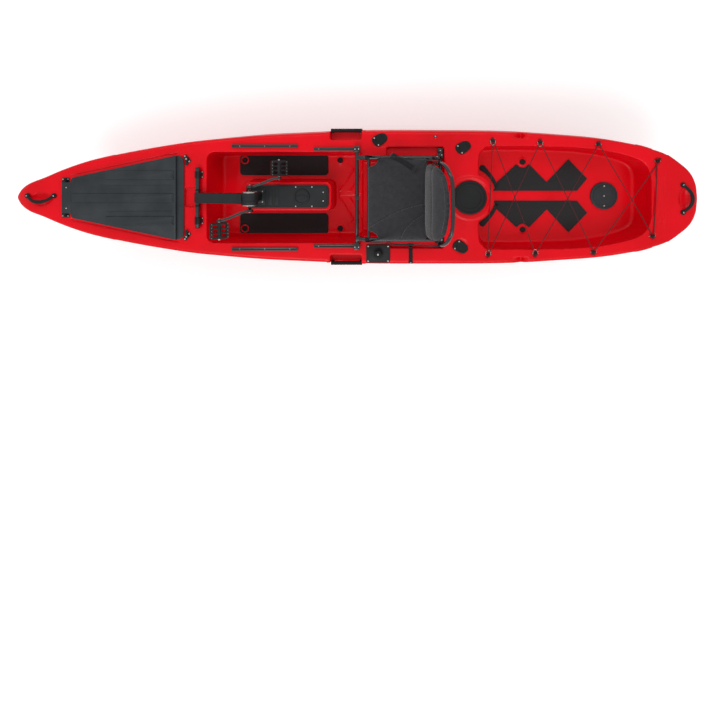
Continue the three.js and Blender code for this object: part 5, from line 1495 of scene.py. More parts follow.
legParts = {
    "outline": (
        (-1, 0), (-0.93, 0.2), (-0.75, 0.36), (-0.5, 0.45), (-0.2, 0.49), (0, 0.5), (0.25, 0.46),
        (0.5, 0.36), (0.75, 0.2), (0.92, 0.07), (1, 0)
    ),
    "fore": 0.026, "aft": 0.066, "thick": 0.034,
    "case": (
        (-1, 0), (-0.97, 0.25), (-0.86, 0.5), (-0.68, 0.7), (-0.45, 0.85), (-0.2, 0.96), (0, 1), (0.35, 1),
        (0.6, 0.92), (0.85, 0.76), (0.97, 0.67), (1, 0.645)
    ),
    "radius": 0.031, "nose": 0.036, "tail": 0.127, "skegThick": 0.009, "chord": 0.15, "depth": 0.146,
    "skeg": (
        (-0.11, 0.12), (0.08, 0.53), (0.22, 0.67), (0.53, 0.88), (0.77, 1), (0.85, 0.89), (0.78, 0.66),
        (0.75, 0.38), (0.78, 0.12), (0.6, -0.05), (0.05, -0.05)
    ),
}


def addLeg():
    x, z = drive["x"], drive["leg"]
    one = [
        (x + a * (legParts["fore"] if a < 0 else legParts["aft"]), b * legParts["thick"])
        for a, b in legParts["outline"]
    ]
    outline = one + [(a, -b) for a, b in one[1:-1]][::-1]
    strut = addLoft(
        [[(a, b, level) for a, b in outline] for level in (z, z + 0.02, 0.0, 0.12, 0.22, drive["top"])]
    )
    profile = [
        (a * (legParts["nose"] if a < 0 else legParts["tail"]), b * legParts["radius"])
        for a, b in legParts["case"]
    ]
    gearCase = addTurned("x", (x, 0, z), profile + [(legParts["tail"], 0)], 64)
    curve = smoothLine(
        [(x + a * legParts["chord"], 0, z - b * legParts["depth"]) for a, b in legParts["skeg"]], 5, True
    )
    fin = addPrism(
        [(point.x, point.z) for point in curve], (-legParts["skegThick"] / 2, legParts["skegThick"] / 2),
        "xz"
    )
    softenEdges(fin, 0.0036, 3, 50)
    collar = addTurned(
        "x", (x, 0, z), ((0.058, 0.0312), (0.06, 0.0318), (0.066, 0.0318), (0.068, 0.0312)), 64
    )
    finishPiece([strut, gearCase, fin, collar], "driveLeg", "drive", "drive_black", ("drive_leg",), angle=30)
    finishPiece(copyNode("drive_shaft"), "uprightShaft", "upright", "gear_steel", ("drive_shaft",))
    finishPiece(copyNode("propeller_shaft"), "propellerShaft", "screw", "gear_steel", ("propeller_shaft",))


screw = {
    "x": -0.4527, "hub": 0.017, "length": 0.052, "radius": 0.075, "root": 0.034, "tip": 0.03,
    "thick": 0.005, "tipThick": 0.002, "pitch": 32, "seat": 0.35,
    "blade": (
        (0.1, 0.9, 1.2), (0.35, 1, 1), (0.6, 1.15, 0.85), (0.82, 1, 0.7), (0.96, 0.62, 0.6), (1, 0.25, 0.55)
    ),
}


def addPropeller():
    x, z = screw["x"], drive["leg"]
    shares = (
        (0, 0), (0, 0.96), (0.02, 1), (0.6, 1), (0.75, 0.9), (0.87, 0.72), (0.95, 0.46), (0.99, 0.2), (1, 0)
    )
    parts = [addTurned("x", (x, 0, z), [(a * screw["length"], b * screw["hub"]) for a, b in shares], 56)]
    rows = smoothLine(screw["blade"], 5)
    for sign in (1, -1):
        rings = []
        for out, wide, twistShare in rows:
            chord = (screw["root"] + (screw["tip"] - screw["root"]) * out) * wide
            twist = radians(screw["pitch"]) * twistShare
            thick = screw["thick"] + (screw["tipThick"] - screw["thick"]) * out
            ring = []
            for k in range(20):
                turn = 2 * pi * k / 20
                c, t = 0.5 * cos(turn) * chord, 0.5 * sin(turn) * thick
                along = c * sin(twist) + t * cos(twist)
                across = c * cos(twist) - t * sin(twist)
                ring.append(
                    (
                        x + screw["length"] * screw["seat"] + along, sign * across,
                        z + sign * out * screw["radius"]
                    )
                )
            rings.append(ring)
        parts.append(addLoft(rings))
    finishPiece(parts, "propeller", "screw", "drive_black", ("propeller",), angle=40)
    addScrews("propellerNut", "screw", [(x + screw["length"] - 0.0012, 0, z, "x")], 0.006)


addStay()
addHead()
addCranks()
addWellCover()
addLeg()
addPropeller()
print("drive ready")


# Cockpit mats, tracks and rails
footMat = {
    "ends": (-0.73, -0.175), "inner": 0.12, "outer": 0.25, "corner": 0.022, "base": 0.0903, "thick": 0.005,
    "ring": 0.026
}
tracks = {
    "gear": (-0.707, 0.386, 0.3, (-0.66, -0.514, -0.368)), "rail": (-0.228, 0.272, 0.283, (-0.2, 0.02)),
    "width": 0.02, "height": 0.009, "slot": 0.0066, "deep": 0.005,
}


def addTrack(name, node, sign, front, long, half, screws):
    low = deckLevel + fit
    y = sign * half
    body = addSlab(
        (front, front + long), about(y, tracks["width"] / 2), 0.004, (low, low + tracks["height"])
    )
    top = low + tracks["height"]
    slot = addBox(
        (front + 0.008, front + long - 0.008), about(y, tracks["slot"] / 2),
        (top - tracks["deep"], top + 0.01)
    )
    ends = [
        addCylinder("z", (x, y), 0.0062, (top - tracks["deep"], top + 0.01), 32)
        for x in (front + 0.014, front + long - 0.014)
    ]
    finishPiece(combine(body, [slot] + ends), name, "hull", "black_track", (node,), 0.0008)
    addScrews(name + "Screws", "hull", [(x, y, top - tracks["deep"]) for x in screws], 0.0031)


def addCockpitParts():
    low = footMat["base"]
    for side, sign in bothSides:
        mat = addSlab(
            footMat["ends"], (sign * footMat["inner"], sign * footMat["outer"]), footMat["corner"],
            (low, low + footMat["thick"])
        )
        combine(mat, [addCylinder("z", (-0.7, sign * 0.215), footMat["ring"], (0, 0.2), 48)])
        finishPiece(mat, "footMat_" + side, "hull", "foam_mat", ("foot_mat_" + side,), 0.0012)
        for kind, node in (("gear", "gear_track_"), ("rail", "seat_rail_")):
            front, long, half, screws = tracks[kind]
            addTrack(kind + "Track_" + side, node + side, sign, front, long, half, screws)


addCockpitParts()
print("cockpit parts ready")


# Side plate with its knob, and the rod hole caps
plateParts = {
    "base": 0.32502, "thick": 0.006, "boss": 0.034, "bossHeight": 0.004, "knob": 0.026, "knobBase": 0.33532,
    "knobHeight": 0.022, "lobes": 5
}


def addSidePlate():
    x, y, low = sidePlate["x"], sidePlate["y"], plateParts["base"]
    top = low + plateParts["thick"]
    half, across = sidePlate["length"] / 2, sidePlate["width"] / 2
    body = softenEdges(addSlab(about(x, half), about(y, across), 0.012, (low, top)), 0.0016, 3)
    rib = addSlab(
        (x - half + 0.008, x + half - 0.008), (y - across + 0.008, y + across - 0.008), 0.008,
        (top - 0.001, top + 0.0012)
    )
    combine(
        rib,
        [
            addSlab(
                (x - half + 0.011, x + half - 0.011), (y - across + 0.011, y + across - 0.011), 0.006,
                about(top, 0.01)
            )
        ]
    )
    radius, crest = plateParts["boss"], top + plateParts["bossHeight"]
    boss = addTurned("z", (x, y, 0), (
        (top - 0.001, 0), (top - 0.001, radius), (top + 0.0028, radius - 0.0006), (crest, radius - 0.0022),
        (crest, 0),
    ), 64)
    finishPiece([body, rib, boss], "sidePlate", "hull", "black_plastic", ("side_plate",))
    screws = [(x + a * (half - 0.012), y + b * (across - 0.011), top) for a in (-1, 1) for b in (-1, 1)]
    addScrews("sidePlateScrews", "hull", screws, 0.0046)
    rings = []
    base, high = plateParts["knobBase"], plateParts["knobHeight"]
    for level, shrink in (
        (0, 0.003), (0.0015, 0.0008), (0.004, 0), (high - 0.006, 0.0006), (high - 0.0024, 0.0022),
        (high, 0.0066), (high, 0.012), (high - 0.0022, 0.0145)
    ):
        ring = []
        for k in range(100):
            turn = 2 * pi * k / 100
            radius = plateParts["knob"] - 0.0032 * (1 - cos(turn * plateParts["lobes"])) / 2 - shrink
            ring.append((x + radius * cos(turn), y + radius * sin(turn), base + level))
        rings.append(ring)
    finishPiece(addLoft(rings), "turnKnob", "knob", "black_rubber", ("turn_knob",), angle=50)
    addScrews("turnKnobScrew", "knob", [(x, y, base + high - 0.0022)], 0.0055)


rodCap = {
    "outline": (
        (-0.041, 0.014), (0.012, 0.039), (0.042, 0.024), (0.04, -0.006), (-0.006, -0.039), (-0.039, -0.02)
    ),
    "screws": ((-0.0315, 0.0095), (-0.007, -0.0305)), "thick": 0.007, "plug": 0.023, "plugDepth": 0.026,
}


def addRodCaps():
    bodies = {
        "rod_cap_stbd_front": "rod_cap_a", "rod_cap_stbd_back": "rod_cap_b",
        "rod_cap_port_back": "rod_cap_c"
    }
    for node, x, y in rodHoles["places"]:
        low = deckAt(x) - rodHoles["sunk"] + fit
        high = low + rodCap["thick"]
        rings = []
        side = copysign(1, y)
        outline = smoothLine([Vector((a, side * b, 0)) for a, b in rodCap["outline"]], 12, True)
        for level, shrink in (
            (low, 0.98), (low + 0.0015, 1), (high - 0.0032, 0.995), (high - 0.001, 0.97), (high, 0.91),
            (high + 0.0002, 0.7), (high - 0.0016, 0.62), (high - 0.0014, 0.3)
        ):
            rings.append([(x + spot.x * shrink, y + spot.y * shrink, level) for spot in outline])
        parts = [addLoft(rings)]
        plug = addCylinder("z", (0, 0), rodCap["plug"], (-rodCap["plugDepth"], 0.001), 40)
        softenEdges(plug, 0.002, 2)
        turnAbout(plug, rodHoles["tilt"], "Y", (0, 0, 0))
        shiftBy(plug, (x, y, low - fit))
        parts.append(plug)
        body = bodies[node]
        finishPiece(parts, "rodCap_" + node[-1] + body[-1], body, "black_rubber", (node,), angle=40)
        addScrews(
            "rodCapScrews_" + body[-1], body,
            [(x + a, y + side * b, high - 0.0004) for a, b in rodCap["screws"]], 0.0044
        )


addSidePlate()
addRodCaps()
print("side plate and rod caps ready")


# Hand grips at the ends and sides
grips = {"radius": 0.0085, "foot": 0.0146, "footHeight": 0.008}


def addEndGrip(name, node, ends, bulge, level):
    a, b = (Vector((*end, level + grips["footHeight"] / 2)) for end in ends)
    bulge = Vector(bulge)
    middle = (a + b) / 2 + bulge
    quarter = [end.lerp(middle, 0.5) + bulge * 0.28 for end in (a, b)]
    line = smoothLine([a, quarter[0], middle, quarter[1], b], 8)
    rings = []
    for i, point in enumerate(line):
        ahead = (line[min(i + 1, len(line) - 1)] - line[max(i - 1, 0)]).normalized()
        up = Vector((0, 0, 1)) if abs(ahead.z) < 0.9 else Vector((1, 0, 0))
        side = ahead.cross(up).normalized()
        lift = side.cross(ahead).normalized()
        t = i / (len(line) - 1)
        wide = grips["radius"] * (1 + 0.28 * sin(pi * t) ** 2)
        wave = 0.0006 * cos(t * 60) if 0.25 < t < 0.75 else 0
        tall = grips["radius"] * 0.86
        turns = [2 * pi * k / 20 for k in range(20)]
        rings.append([
            point + side * (wide + wave) * cos(turn) + lift * (tall + wave) * sin(turn) for turn in turns
        ])
    level += fit
    parts = [combine(addLoft(rings), [addBox((-2.1, 2.1), (-0.3, 0.3), (level - 0.05, level + 0.002))])]
    foot = (
        (0, 0), (0, grips["foot"]), (0.005, grips["foot"]), (0.0076, 0.0128), (0.0095, 0.0095), (0.0098, 0)
    )
    parts += [addTurned("z", (x, y, level), foot, 40) for x, y in ends]
    finishPiece(parts, name, "hull", "black_rubber", (node,), angle=50)
    addScrews(name + "Screws", "hull", [(x, y, level + 0.0096) for x, y in ends], 0.0046)


def addSideGrips():
    xs = (sideNotch["ends"][0] + fit, sideNotch["ends"][1] - fit)
    for side, sign in bothSides:
        y, z = sign * 0.393, 0.272
        profile = [(xs[0], 0), (xs[0], 0.011), (xs[0] + 0.002, 0.012), (xs[0] + 0.014, 0.012)]
        count = 22
        for k in range(count):
            start = xs[0] + 0.02 + k * (xs[1] - xs[0] - 0.04) / count
            step = (xs[1] - xs[0] - 0.04) / count
            profile += [
                (start, 0.0106), (start + step * 0.2, 0.012), (start + step * 0.75, 0.012),
                (start + step * 0.95, 0.0106)
            ]
        profile += [(xs[1] - 0.014, 0.012), (xs[1] - 0.002, 0.012), (xs[1], 0.011), (xs[1], 0)]
        parts = [addTurned("x", (0, y, z), profile, 36)]
        for start, stop in ((xs[0], xs[0] + 0.016), (xs[1] - 0.016, xs[1])):
            parts.append(chamferBlock((start, stop), about(y, 0.0118), (sideNotch["floor"] + fit, z), 0.002))
        finishPiece(parts, "sideGrip_" + side, "hull", "black_rubber", ("side_grip_" + side,), angle=40)
        places = [
            (xs[0] + 0.008, y - sign * 0.0118, 0.252, facing[-sign]),
            (xs[1] - 0.008, y - sign * 0.0118, 0.252, facing[-sign])
        ]
        addScrews("sideGripScrews_" + side, "hull", places, 0.0036)


addEndGrip("bowGrip", "bow_grip", ((-1.9, 0.01), (-1.744, 0.01)), (0, -0.034, 0.02), deckLevel)
addEndGrip("sternGrip", "stern_grip", ((1.886, -0.078), (1.886, 0.078)), (0.038, 0, 0.028), deckAt(1.901))
addSideGrips()
print("grips ready")


# Round hatches, deck mats, eyes and the laced cord
def addHatch(name, node, body, slot, x, level, radius, neck, thick, spigot, marks):
    low = level + fit
    top = low + thick
    lid = addTurned("z", (x, 0, 0), (
        (low - spigot, 0), (low - spigot, neck - 0.004), (low - spigot + 0.002, neck - 0.0004),
        (low - 0.001, neck - 0.0004),
        (low, neck), (low, radius - 0.001), (low + 0.001, radius), (top - 0.004, radius),
        (top - 0.0012, radius - 0.0012),
        (top, radius - 0.004), (top, radius - 0.013), (top - 0.0018, radius - 0.0145),
        (top - 0.0018, radius - 0.0165),
        (top, radius - 0.018), (top, radius * 0.66), (top - 0.002, radius * 0.64), (top - 0.002, 0),
    ), 96)
    cuts = []
    for k in range(24):
        turn = 2 * pi * k / 24
        cuts.append(
            addCylinder(
                "z", (x + (radius + 0.0012) * cos(turn), (radius + 0.0012) * sin(turn)), 0.0034,
                (low + 0.002, top + 0.01), 12
            )
        )
    combine(lid, [joinPieces(cuts)])
    finishPiece(lid, name, body, slot, (node,), angle=30)
    if marks:
        addScrews(
            name + "Dots", body, [(x, y, top - 0.002 if abs(y) < radius * 0.64 else top) for y in marks],
            0.0046
        )


deckMat = {
    "base": 0.2003, "thick": 0.005, "ring": 0.036, "drain": (1.02, 0.206),
    "outline": (
        (0.842, 0.03), (1.35, 0.03), (1.412, 0.104), (1.298, 0.222), (1.166, 0.083), (1.062, 0.189),
        (0.978, 0.189), (0.864, 0.083),
    ),
    "arm": ((0.862, 0.048), (0.848, 0.083), (0.829, 0.114), (0.804, 0.143), (0.777, 0.168)),
    "armWidth": 0.022,
}


def addDeckMats():
    low, high = deckMat["base"], deckMat["base"] + deckMat["thick"]
    for side, sign in bothSides:
        outline = [(x, sign * y) for x, y in deckMat["outline"]]
        mat = addPrism(outline, (low, high))
        modifier = mat.modifiers.new("corners", "BEVEL")
        modifier.affect = "VERTICES"
        modifier.width = 0.006
        modifier.segments = 3
        drainX, drainY = deckMat["drain"]
        combine(mat, [addCylinder("z", (drainX, sign * drainY), deckMat["ring"], (0, 0.3), 48)])
        finishPiece(mat, "deckMat_" + side, "hull", "foam_mat", ("deck_mat_" + side,), 0.0012)


def addEyes():
    bases, screws, rings = {}, [], []
    for side, sign in bothSides:
        for number, (x, half) in enumerate(zip(eyes["x"], eyes["half"])):
            place = x + sign * eyes["stagger"]
            y, low = sign * half, deckAt(place) - eyes["sunk"] + fit
            top = low + 0.004
            foot = addSlab(about(place, 0.017), about(y, 0.008), 0.0072, (low, top))
            softenEdges(foot, 0.0012, 2)
            turns = [radians(-20 + 220 * k / 20) for k in range(21)]
            arch = addTube(
                [(place + 0.0112 * cos(turn), y, top + 0.0112 * sin(turn)) for turn in turns], 0.0024, 16,
                smooth=False
            )
            widen = Matrix.Translation((0, y, 0)) @ Matrix.Diagonal((1, 1.4, 1, 1))
            arch.data.transform(widen @ Matrix.Translation((0, -y, 0)))
            combine(arch, [addBox(about(place, 0.05), about(y, 0.05), (top - 0.03, top - 0.0012))])
            finishPiece(
                [foot, arch], "padEye_%s_%d" % (side, number + 1), "hull", "black_plastic",
                ("pad_eye_%s_%d" % (side, number + 1),), angle=40
            )
            screws += [(place + turn * 0.0145, y, top) for turn in (-1, 1)]
            bases[(side, number + 1)] = (place, y, low + 0.004 + 0.0042)
            if number < 2:
                radius = eyes["ring"]
                turns = [2 * pi * k / 40 for k in range(40)]
                ring = [
                    (place + radius * cos(t), y - sign * (radius - 0.004) + radius * sin(t), top + 0.0016)
                    for t in turns
                ]
                rings.append(addTube(ring, 0.0015, 10, closed=True))
    addScrews("padEyeScrews", "hull", screws, 0.0026)
    finishPiece(rings, "padEyeRings", "hull", "bare_steel", angle=60)
    return bases


cord = {"radius": 0.0024, "lane": 0.0046, "turn": 0.007, "side": 0.007, "lift": 0.009}


def addBungee(places):
    order = (
        ("port", 1), ("stbd", 1), ("port", 2), ("stbd", 3), ("port", 4), ("stbd", 4), ("port", 3),
        ("stbd", 2), ("port", 1)
    )
    stops = [places[key] for key in order]
    route = []
    for i, (x, y, z) in enumerate(stops):
        first, last = i == 0, i == len(stops) - 1
        before = x + 1 if first else stops[i - 1][0]
        into = 1 if first else copysign(1, before - x)
        lane = (1 if last else into) * cord["lane"]
        out = copysign(1, y)
        if not first:
            route += [(x + lane, y - out * cord["side"], z), (x + lane, y + out * cord["side"], z)]
        if not first and not last:
            for k in range(1, 6):
                turn = k * pi / 6
                route.append((x + lane * cos(turn), y + out * (cord["side"] + cord["turn"] * sin(turn)), z))
        if not last:
            route += [(x - lane, y + out * cord["side"], z), (x - lane, y - out * cord["side"], z)]
            ahead = stops[i + 1]
            lift = cord["lift"] if i >= len(stops) / 2 else 0
            route.append(((x - lane + ahead[0]) / 2, (y + ahead[1]) / 2, (z + ahead[2]) / 2 + lift))
    line = addTube(route, cord["radius"], 16)
    finishPiece(line, "deckBungee", "hull", "bungee_cord", ("deck_bungee",), angle=60)


addHatch(
    "midHatchLid", "mid_hatch_lid", "mid_lid", "hatch_black", midHatch["x"],
    deckAt(midHatch["x"]) - midHatch["sunk"], midHatch["lid"], 0.0791, 0.011, 0.016, ()
)
addHatch(
    "sternHatchLid", "stern_hatch_lid", "stern_lid", "charcoal_plastic", sternHatch["x"], tank["floor"],
    sternHatch["lid"], 0.0651, 0.01, 0.014, (-0.06, 0, 0.06)
)
addDeckMats()
addBungee(addEyes())
print("stern deck ready")


# Seat: cross bar, frame, cushion, backrest and straps
seat = {
    "barX": 0.025, "barZ": 0.3496, "barRadius": 0.011, "barHalf": 0.29, "tube": 0.012, "cross": 0.0096,
    "half": 0.232, "height": 0.398, "footX": 0.51, "footHalf": 0.244, "footLevel": 0.3003,
    "rail": 0.283, "sliderBase": 0.3346,
    "side": ((1, 0), (0.95, 0.6), (0.9, 0.9), (0.84, 1), (0.5, 1), (0.2, 1)),
    "front": ((0.12, 0.78), (0.04, 0)),
    "crossX": (0.096, 0.42), "saddleTop": 0.3732, "rearHalf": 0.283,
}
backrest = {
    "x": 0.484, "pivot": 0.428, "half": 0.205, "tube": 0.01, "crown": 0.012,
    "shoulder": ((0.02, 0.018, 0.341), (0.034, 0.05, 0.371), (0.045, 0.092, 0.3835)),
    "path": (
        (0, 0), (-0.016, 0.052), (-0.023, 0.112), (-0.02, 0.18), (-0.012, 0.24), (0.002, 0.3),
        (0.024, 0.344), (0.038, 0.372)
    ),
}


def addSeatBar():
    x, z = seat["barX"], seat["barZ"]
    bar = softenEdges(
        addCylinder("y", (x, z), seat["barRadius"], (-seat["barHalf"], seat["barHalf"]), 48), 0.001, 2
    )
    parts = [bar]
    for sign in (1, -1):
        y = sign * seat["rail"]
        low = seat["sliderBase"]
        block = chamferBlock(about(x, 0.017), about(y, 0.017), (low, low + 0.028), 0.003)
        parts.append(block)
        parts.append(addCylinder("y", (x, z), 0.0142, sorted((y - sign * 0.017, y - sign * 0.026)), 40))
    finishPiece(parts, "seatCrossBar", "seat", "black_tube", ("seat_cross_bar",))
    places = [
        (x + turn * 0.0105, sign * seat["rail"], seat["sliderBase"] + 0.028)
        for sign in (1, -1) for turn in (-1, 1)
    ]
    addScrews("seatBarScrews", "seat", places, 0.0036)
    clip = chamferBlock(about(x, 0.012), (-0.012, 0.012), (z - 0.0122, z + 0.0128), 0.002)
    finishPiece(clip, "seatBarClip", "seat", "charcoal_plastic")


def addSeatFrame():
    parts, screws = [], []
    top = seat["footLevel"] + 0.02
    for sign in (1, -1):
        y = sign * seat["half"]
        line = [
            (seat["barX"] + (seat["footX"] - seat["barX"]) * a, y, top + (seat["height"] - top) * b)
            for a, b in seat["side"]
        ]
        line[0] = (line[0][0], y, seat["footLevel"] + 0.01)
        low = seat["saddleTop"] + 0.003
        line += [
            (seat["barX"] + (seat["footX"] - seat["barX"]) * a, y, low + (seat["height"] - low) * b)
            for a, b in seat["front"]
        ]
        parts.append(addTube(line, seat["tube"], 24))
        fy = sign * seat["footHalf"]
        foot = chamferBlock(
            about(seat["footX"], 0.018), about(fy, 0.013), (seat["footLevel"], seat["footLevel"] + 0.02),
            0.003
        )
        parts.append(foot)
        screws.append((seat["footX"] + 0.009, fy + sign * 0.004, seat["footLevel"] + 0.02))
        saddle = chamferBlock(
            (seat["barX"] - 0.006, seat["barX"] + 0.03), about(y, 0.0118), (0.3609, seat["saddleTop"]),
            0.002
        )
        parts.append(saddle)
        lug = addPrism([
            (backrest["x"] - 0.03, seat["height"] - 0.006), (backrest["x"] + 0.015, seat["height"] - 0.024),
            (backrest["x"] + 0.015, backrest["pivot"] + 0.003),
            (backrest["x"] + 0.009, backrest["pivot"] + 0.0075),
            (backrest["x"] - 0.009, backrest["pivot"] + 0.0075),
            (backrest["x"] - 0.015, backrest["pivot"] + 0.002),
        ], about(y, 0.006), "xz")
        parts.append(softenEdges(lug, 0.0015, 2))
        pin = sorted((y, sign * (backrest["half"] - 0.0075)))
        parts.append(addCylinder("y", (backrest["x"], backrest["pivot"]), 0.005, pin, 32))
    for x in seat["crossX"]:
        parts.append(addCylinder("y", (x, seat["height"]), seat["cross"], (-seat["half"], seat["half"]), 32))
    rear = (seat["footX"], seat["footLevel"] + 0.01)
    parts.append(addCylinder("y", rear, seat["cross"], (-seat["rearHalf"], seat["rearHalf"]), 32))
    for sign in (1, -1):
        ends = sorted((sign * (seat["rearHalf"] - 0.022), sign * (seat["rearHalf"] + 0.006)))
        parts.append(
            chamferBlock(
                about(rear[0], 0.0145), ends, (seat["footLevel"] + 0.0003, seat["footLevel"] + 0.024), 0.003
            )
        )
        screws.append((rear[0], sign * (seat["rearHalf"] - 0.008), seat["footLevel"] + 0.024))
    finishPiece(parts, "seatFrame", "seat", "black_tube", ("seat_frame",), angle=40)
    addScrews("seatFootScrews", "seat", screws, 0.0036)
    heads = [
        (backrest["x"], sign * (seat["half"] + 0.006), backrest["pivot"], facing[sign]) for sign in (1, -1)
    ]
    addScrews("seatPivotHeads", "seat", heads, 0.0062)


def backLine(y):
    return [Vector((backrest["x"] + a, y, backrest["pivot"] + b)) for a, b in backrest["path"]]


def addBackFrame():
    top = backrest["path"][-1]
    crest = Vector(
        (backrest["x"] + top[0] + backrest["tube"], 0, backrest["pivot"] + top[1] + backrest["crown"])
    )
    sides = []
    for sign in (1, -1):
        shoulder = [
            Vector((backrest["x"] + a, sign * (backrest["half"] - b), backrest["pivot"] + c))
            for a, b, c in backrest["shoulder"]
        ]
        sides.append(backLine(sign * backrest["half"])[:-2] + shoulder)
    line = sides[0] + [crest] + sides[1][::-1]
    for end in (line[0], line[-1]):
        end.z += 0.012                   # the tube stops short of the pin
    parts = [addTube(line, backrest["tube"], 24)]
    for sign in (1, -1):
        y = sign * backrest["half"]
        eye = softenEdges(
            addCylinder("y", (backrest["x"], backrest["pivot"]), 0.015, about(y, 0.0065), 40), 0.0014, 2
        )
        parts.append(
            combine(eye, [addCylinder("y", (backrest["x"], backrest["pivot"]), 0.0053, about(y, 0.02), 32)])
        )
    finishPiece(parts, "backrestFrame", "backrest", "black_tube", ("backrest_frame",), angle=40)


addSeatBar()
addSeatFrame()
addBackFrame()
print("seat frame ready")


# Cloth helpers: weave coordinates, seams, stitches and a puffed shape
def layCloth(piece, across, up):
    # the weave follows two of the piece's own axes
    mesh = piece.data
    layer = mesh.uv_layers.new(name="cloth")
    places = readPoints(mesh)
    corners = np.empty(len(mesh.loops), dtype=np.int32)
    mesh.loops.foreach_get("vertex_index", corners)
    layer.data.foreach_set("uv", places[corners][:, [across, up]].ravel().astype(np.float32))
    return piece


def puff(piece, cap, low, high, voxel=0.005, frames=20):
    # fills the piece with a little air, then holds every point near its start and inside its space
    remesh(piece, voxel)
    applyAll(piece)
    start = readPoints(piece.data)
    cloth = piece.modifiers.new("air", "CLOTH")
    cloth.settings.quality = 5
    cloth.settings.use_pressure = True
    cloth.settings.uniform_pressure_force = 4
    cloth.settings.effector_weights.gravity = 0
    cloth.point_cache.frame_end = frames
    scene = bpy.context.scene
    for frame in range(1, frames + 1):
        scene.frame_set(frame)
    applyAll(piece)
    scene.frame_set(1)
    move = readPoints(piece.data) - start
    far = np.linalg.norm(move, axis=1, keepdims=True)
    move *= np.minimum(1, cap / np.maximum(far, 1e-9))
    writePoints(piece.data, np.clip(start + move, low, high))
    modifier = piece.modifiers.new("smooth", "SUBSURF")
    modifier.levels = 1
    return applyAll(piece)


def sewSeams(piece, lines, depth, width):
    # draws the upper skin down along each line
    mesh = piece.data
    places = readPoints(mesh)
    upper = places[:, 2] > places[:, 2].mean()
    for line in lines:
        near = np.full(len(places), 1.0)
        for a, b in zip(line, line[1:]):
            a, run = np.array(a), np.array(b) - np.array(a)
            share = np.clip(((places[:, :2] - a) @ run) / (run @ run), 0, 1)
            near = np.minimum(near, np.linalg.norm(places[:, :2] - a - share[:, None] * run, axis=1))
        places[:, 2] -= np.where(upper, depth * np.exp(-((near / width) ** 2)), 0)
    writePoints(mesh, places)
    return piece


stitch = {"long": 0.005, "pitch": 0.0085, "radius": 0.0006}


def addStitches(name, body, piece, lines, way):
    # short threads laid on the skin; way is the direction that finds the skin
    bpy.context.view_layer.update()
    way = Vector(way)
    points, faces = [], []
    for line in lines:
        route = smoothLine([Vector(p) for p in line], 24)
        steps = [0.0]
        for a, b in zip(route, route[1:]):
            steps.append(steps[-1] + (b - a).length)
        count = int(steps[-1] / stitch["pitch"])
        for k in range(count):
            ends = []
            for distance in (k * stitch["pitch"], k * stitch["pitch"] + stitch["long"]):
                i = max(j for j, s in enumerate(steps) if s <= distance)
                i = min(i, len(route) - 2)
                share = (distance - steps[i]) / max(steps[i + 1] - steps[i], 1e-9)
                place = route[i].lerp(route[i + 1], share)
                hit, found, normal, _ = piece.ray_cast(place - way * 0.2, way)
                if hit:
                    ends.append((found, normal))
            if len(ends) < 2:
                continue
            (a, up), (b, _) = ends
            along = (b - a).normalized()
            side = along.cross(up).normalized()
            start = len(points)
            for place, grow in ((a, 0.4), (a.lerp(b, 0.2), 1), (a.lerp(b, 0.8), 1), (b, 0.4)):
                for turn in (2 * pi * n / 6 for n in range(6)):
                    r = stitch["radius"] * grow
                    points.append(place + side * r * cos(turn) + up * (r * sin(turn) + 0.0001))
            for ring in range(3):
                for n in range(6):
                    c, d = start + ring * 6 + n, start + ring * 6 + (n + 1) % 6
                    faces.append((c, d, d + 6, c + 6))
            faces += [tuple(range(start, start + 6))[::-1], tuple(range(start + 18, start + 24))]
    made = addMesh(name, [tuple(p) for p in points], faces)
    finishPiece(made, name, body, "seat_fabric")
    made.data.materials[0] = finishes["stitching"]


def padShare(step, steps):
    # rows that crowd together towards both ends
    share = step / steps
    return share - 0.5 * sin(2 * pi * share) / (2 * pi)


def padAcross(step, steps):
    return sin((step / steps - 0.5) * pi)


def padSwell(edge, bend):
    # how full the pad is at this distance from its edge
    return sqrt(max(0.02, 1 - (1 - min(edge / bend, 1)) ** 2))


# Seat cushion: puffed cloth with scooped front corners and two curved seams
cushion = {
    "front": 0.085, "back": 0.432, "half": 0.24, "base": 0.4115, "thick": 0.022, "crown": 0.009,
    "scoop": (0.062, 0.05), "round": 0.01, "inset": 0.004, "rows": 60, "columns": 72, "cap": 0.006,
    "seams": (
        (
            (0.093, -0.16), (0.135, -0.135), (0.182, -0.108), (0.257, -0.067), (0.327, -0.044),
            (0.389, -0.027), (0.42, -0.024)
        ),
        ((0.277, -0.232), (0.29, -0.192), (0.321, -0.148), (0.36, -0.112), (0.404, -0.083), (0.42, -0.076)),
    ),
}


def cushionHalf(x):
    deep, wide = cushion["scoop"]
    share = min(max((x - cushion["front"]) / deep, 0), 1)
    return cushion["half"] - wide * sqrt(1 - share ** 2)


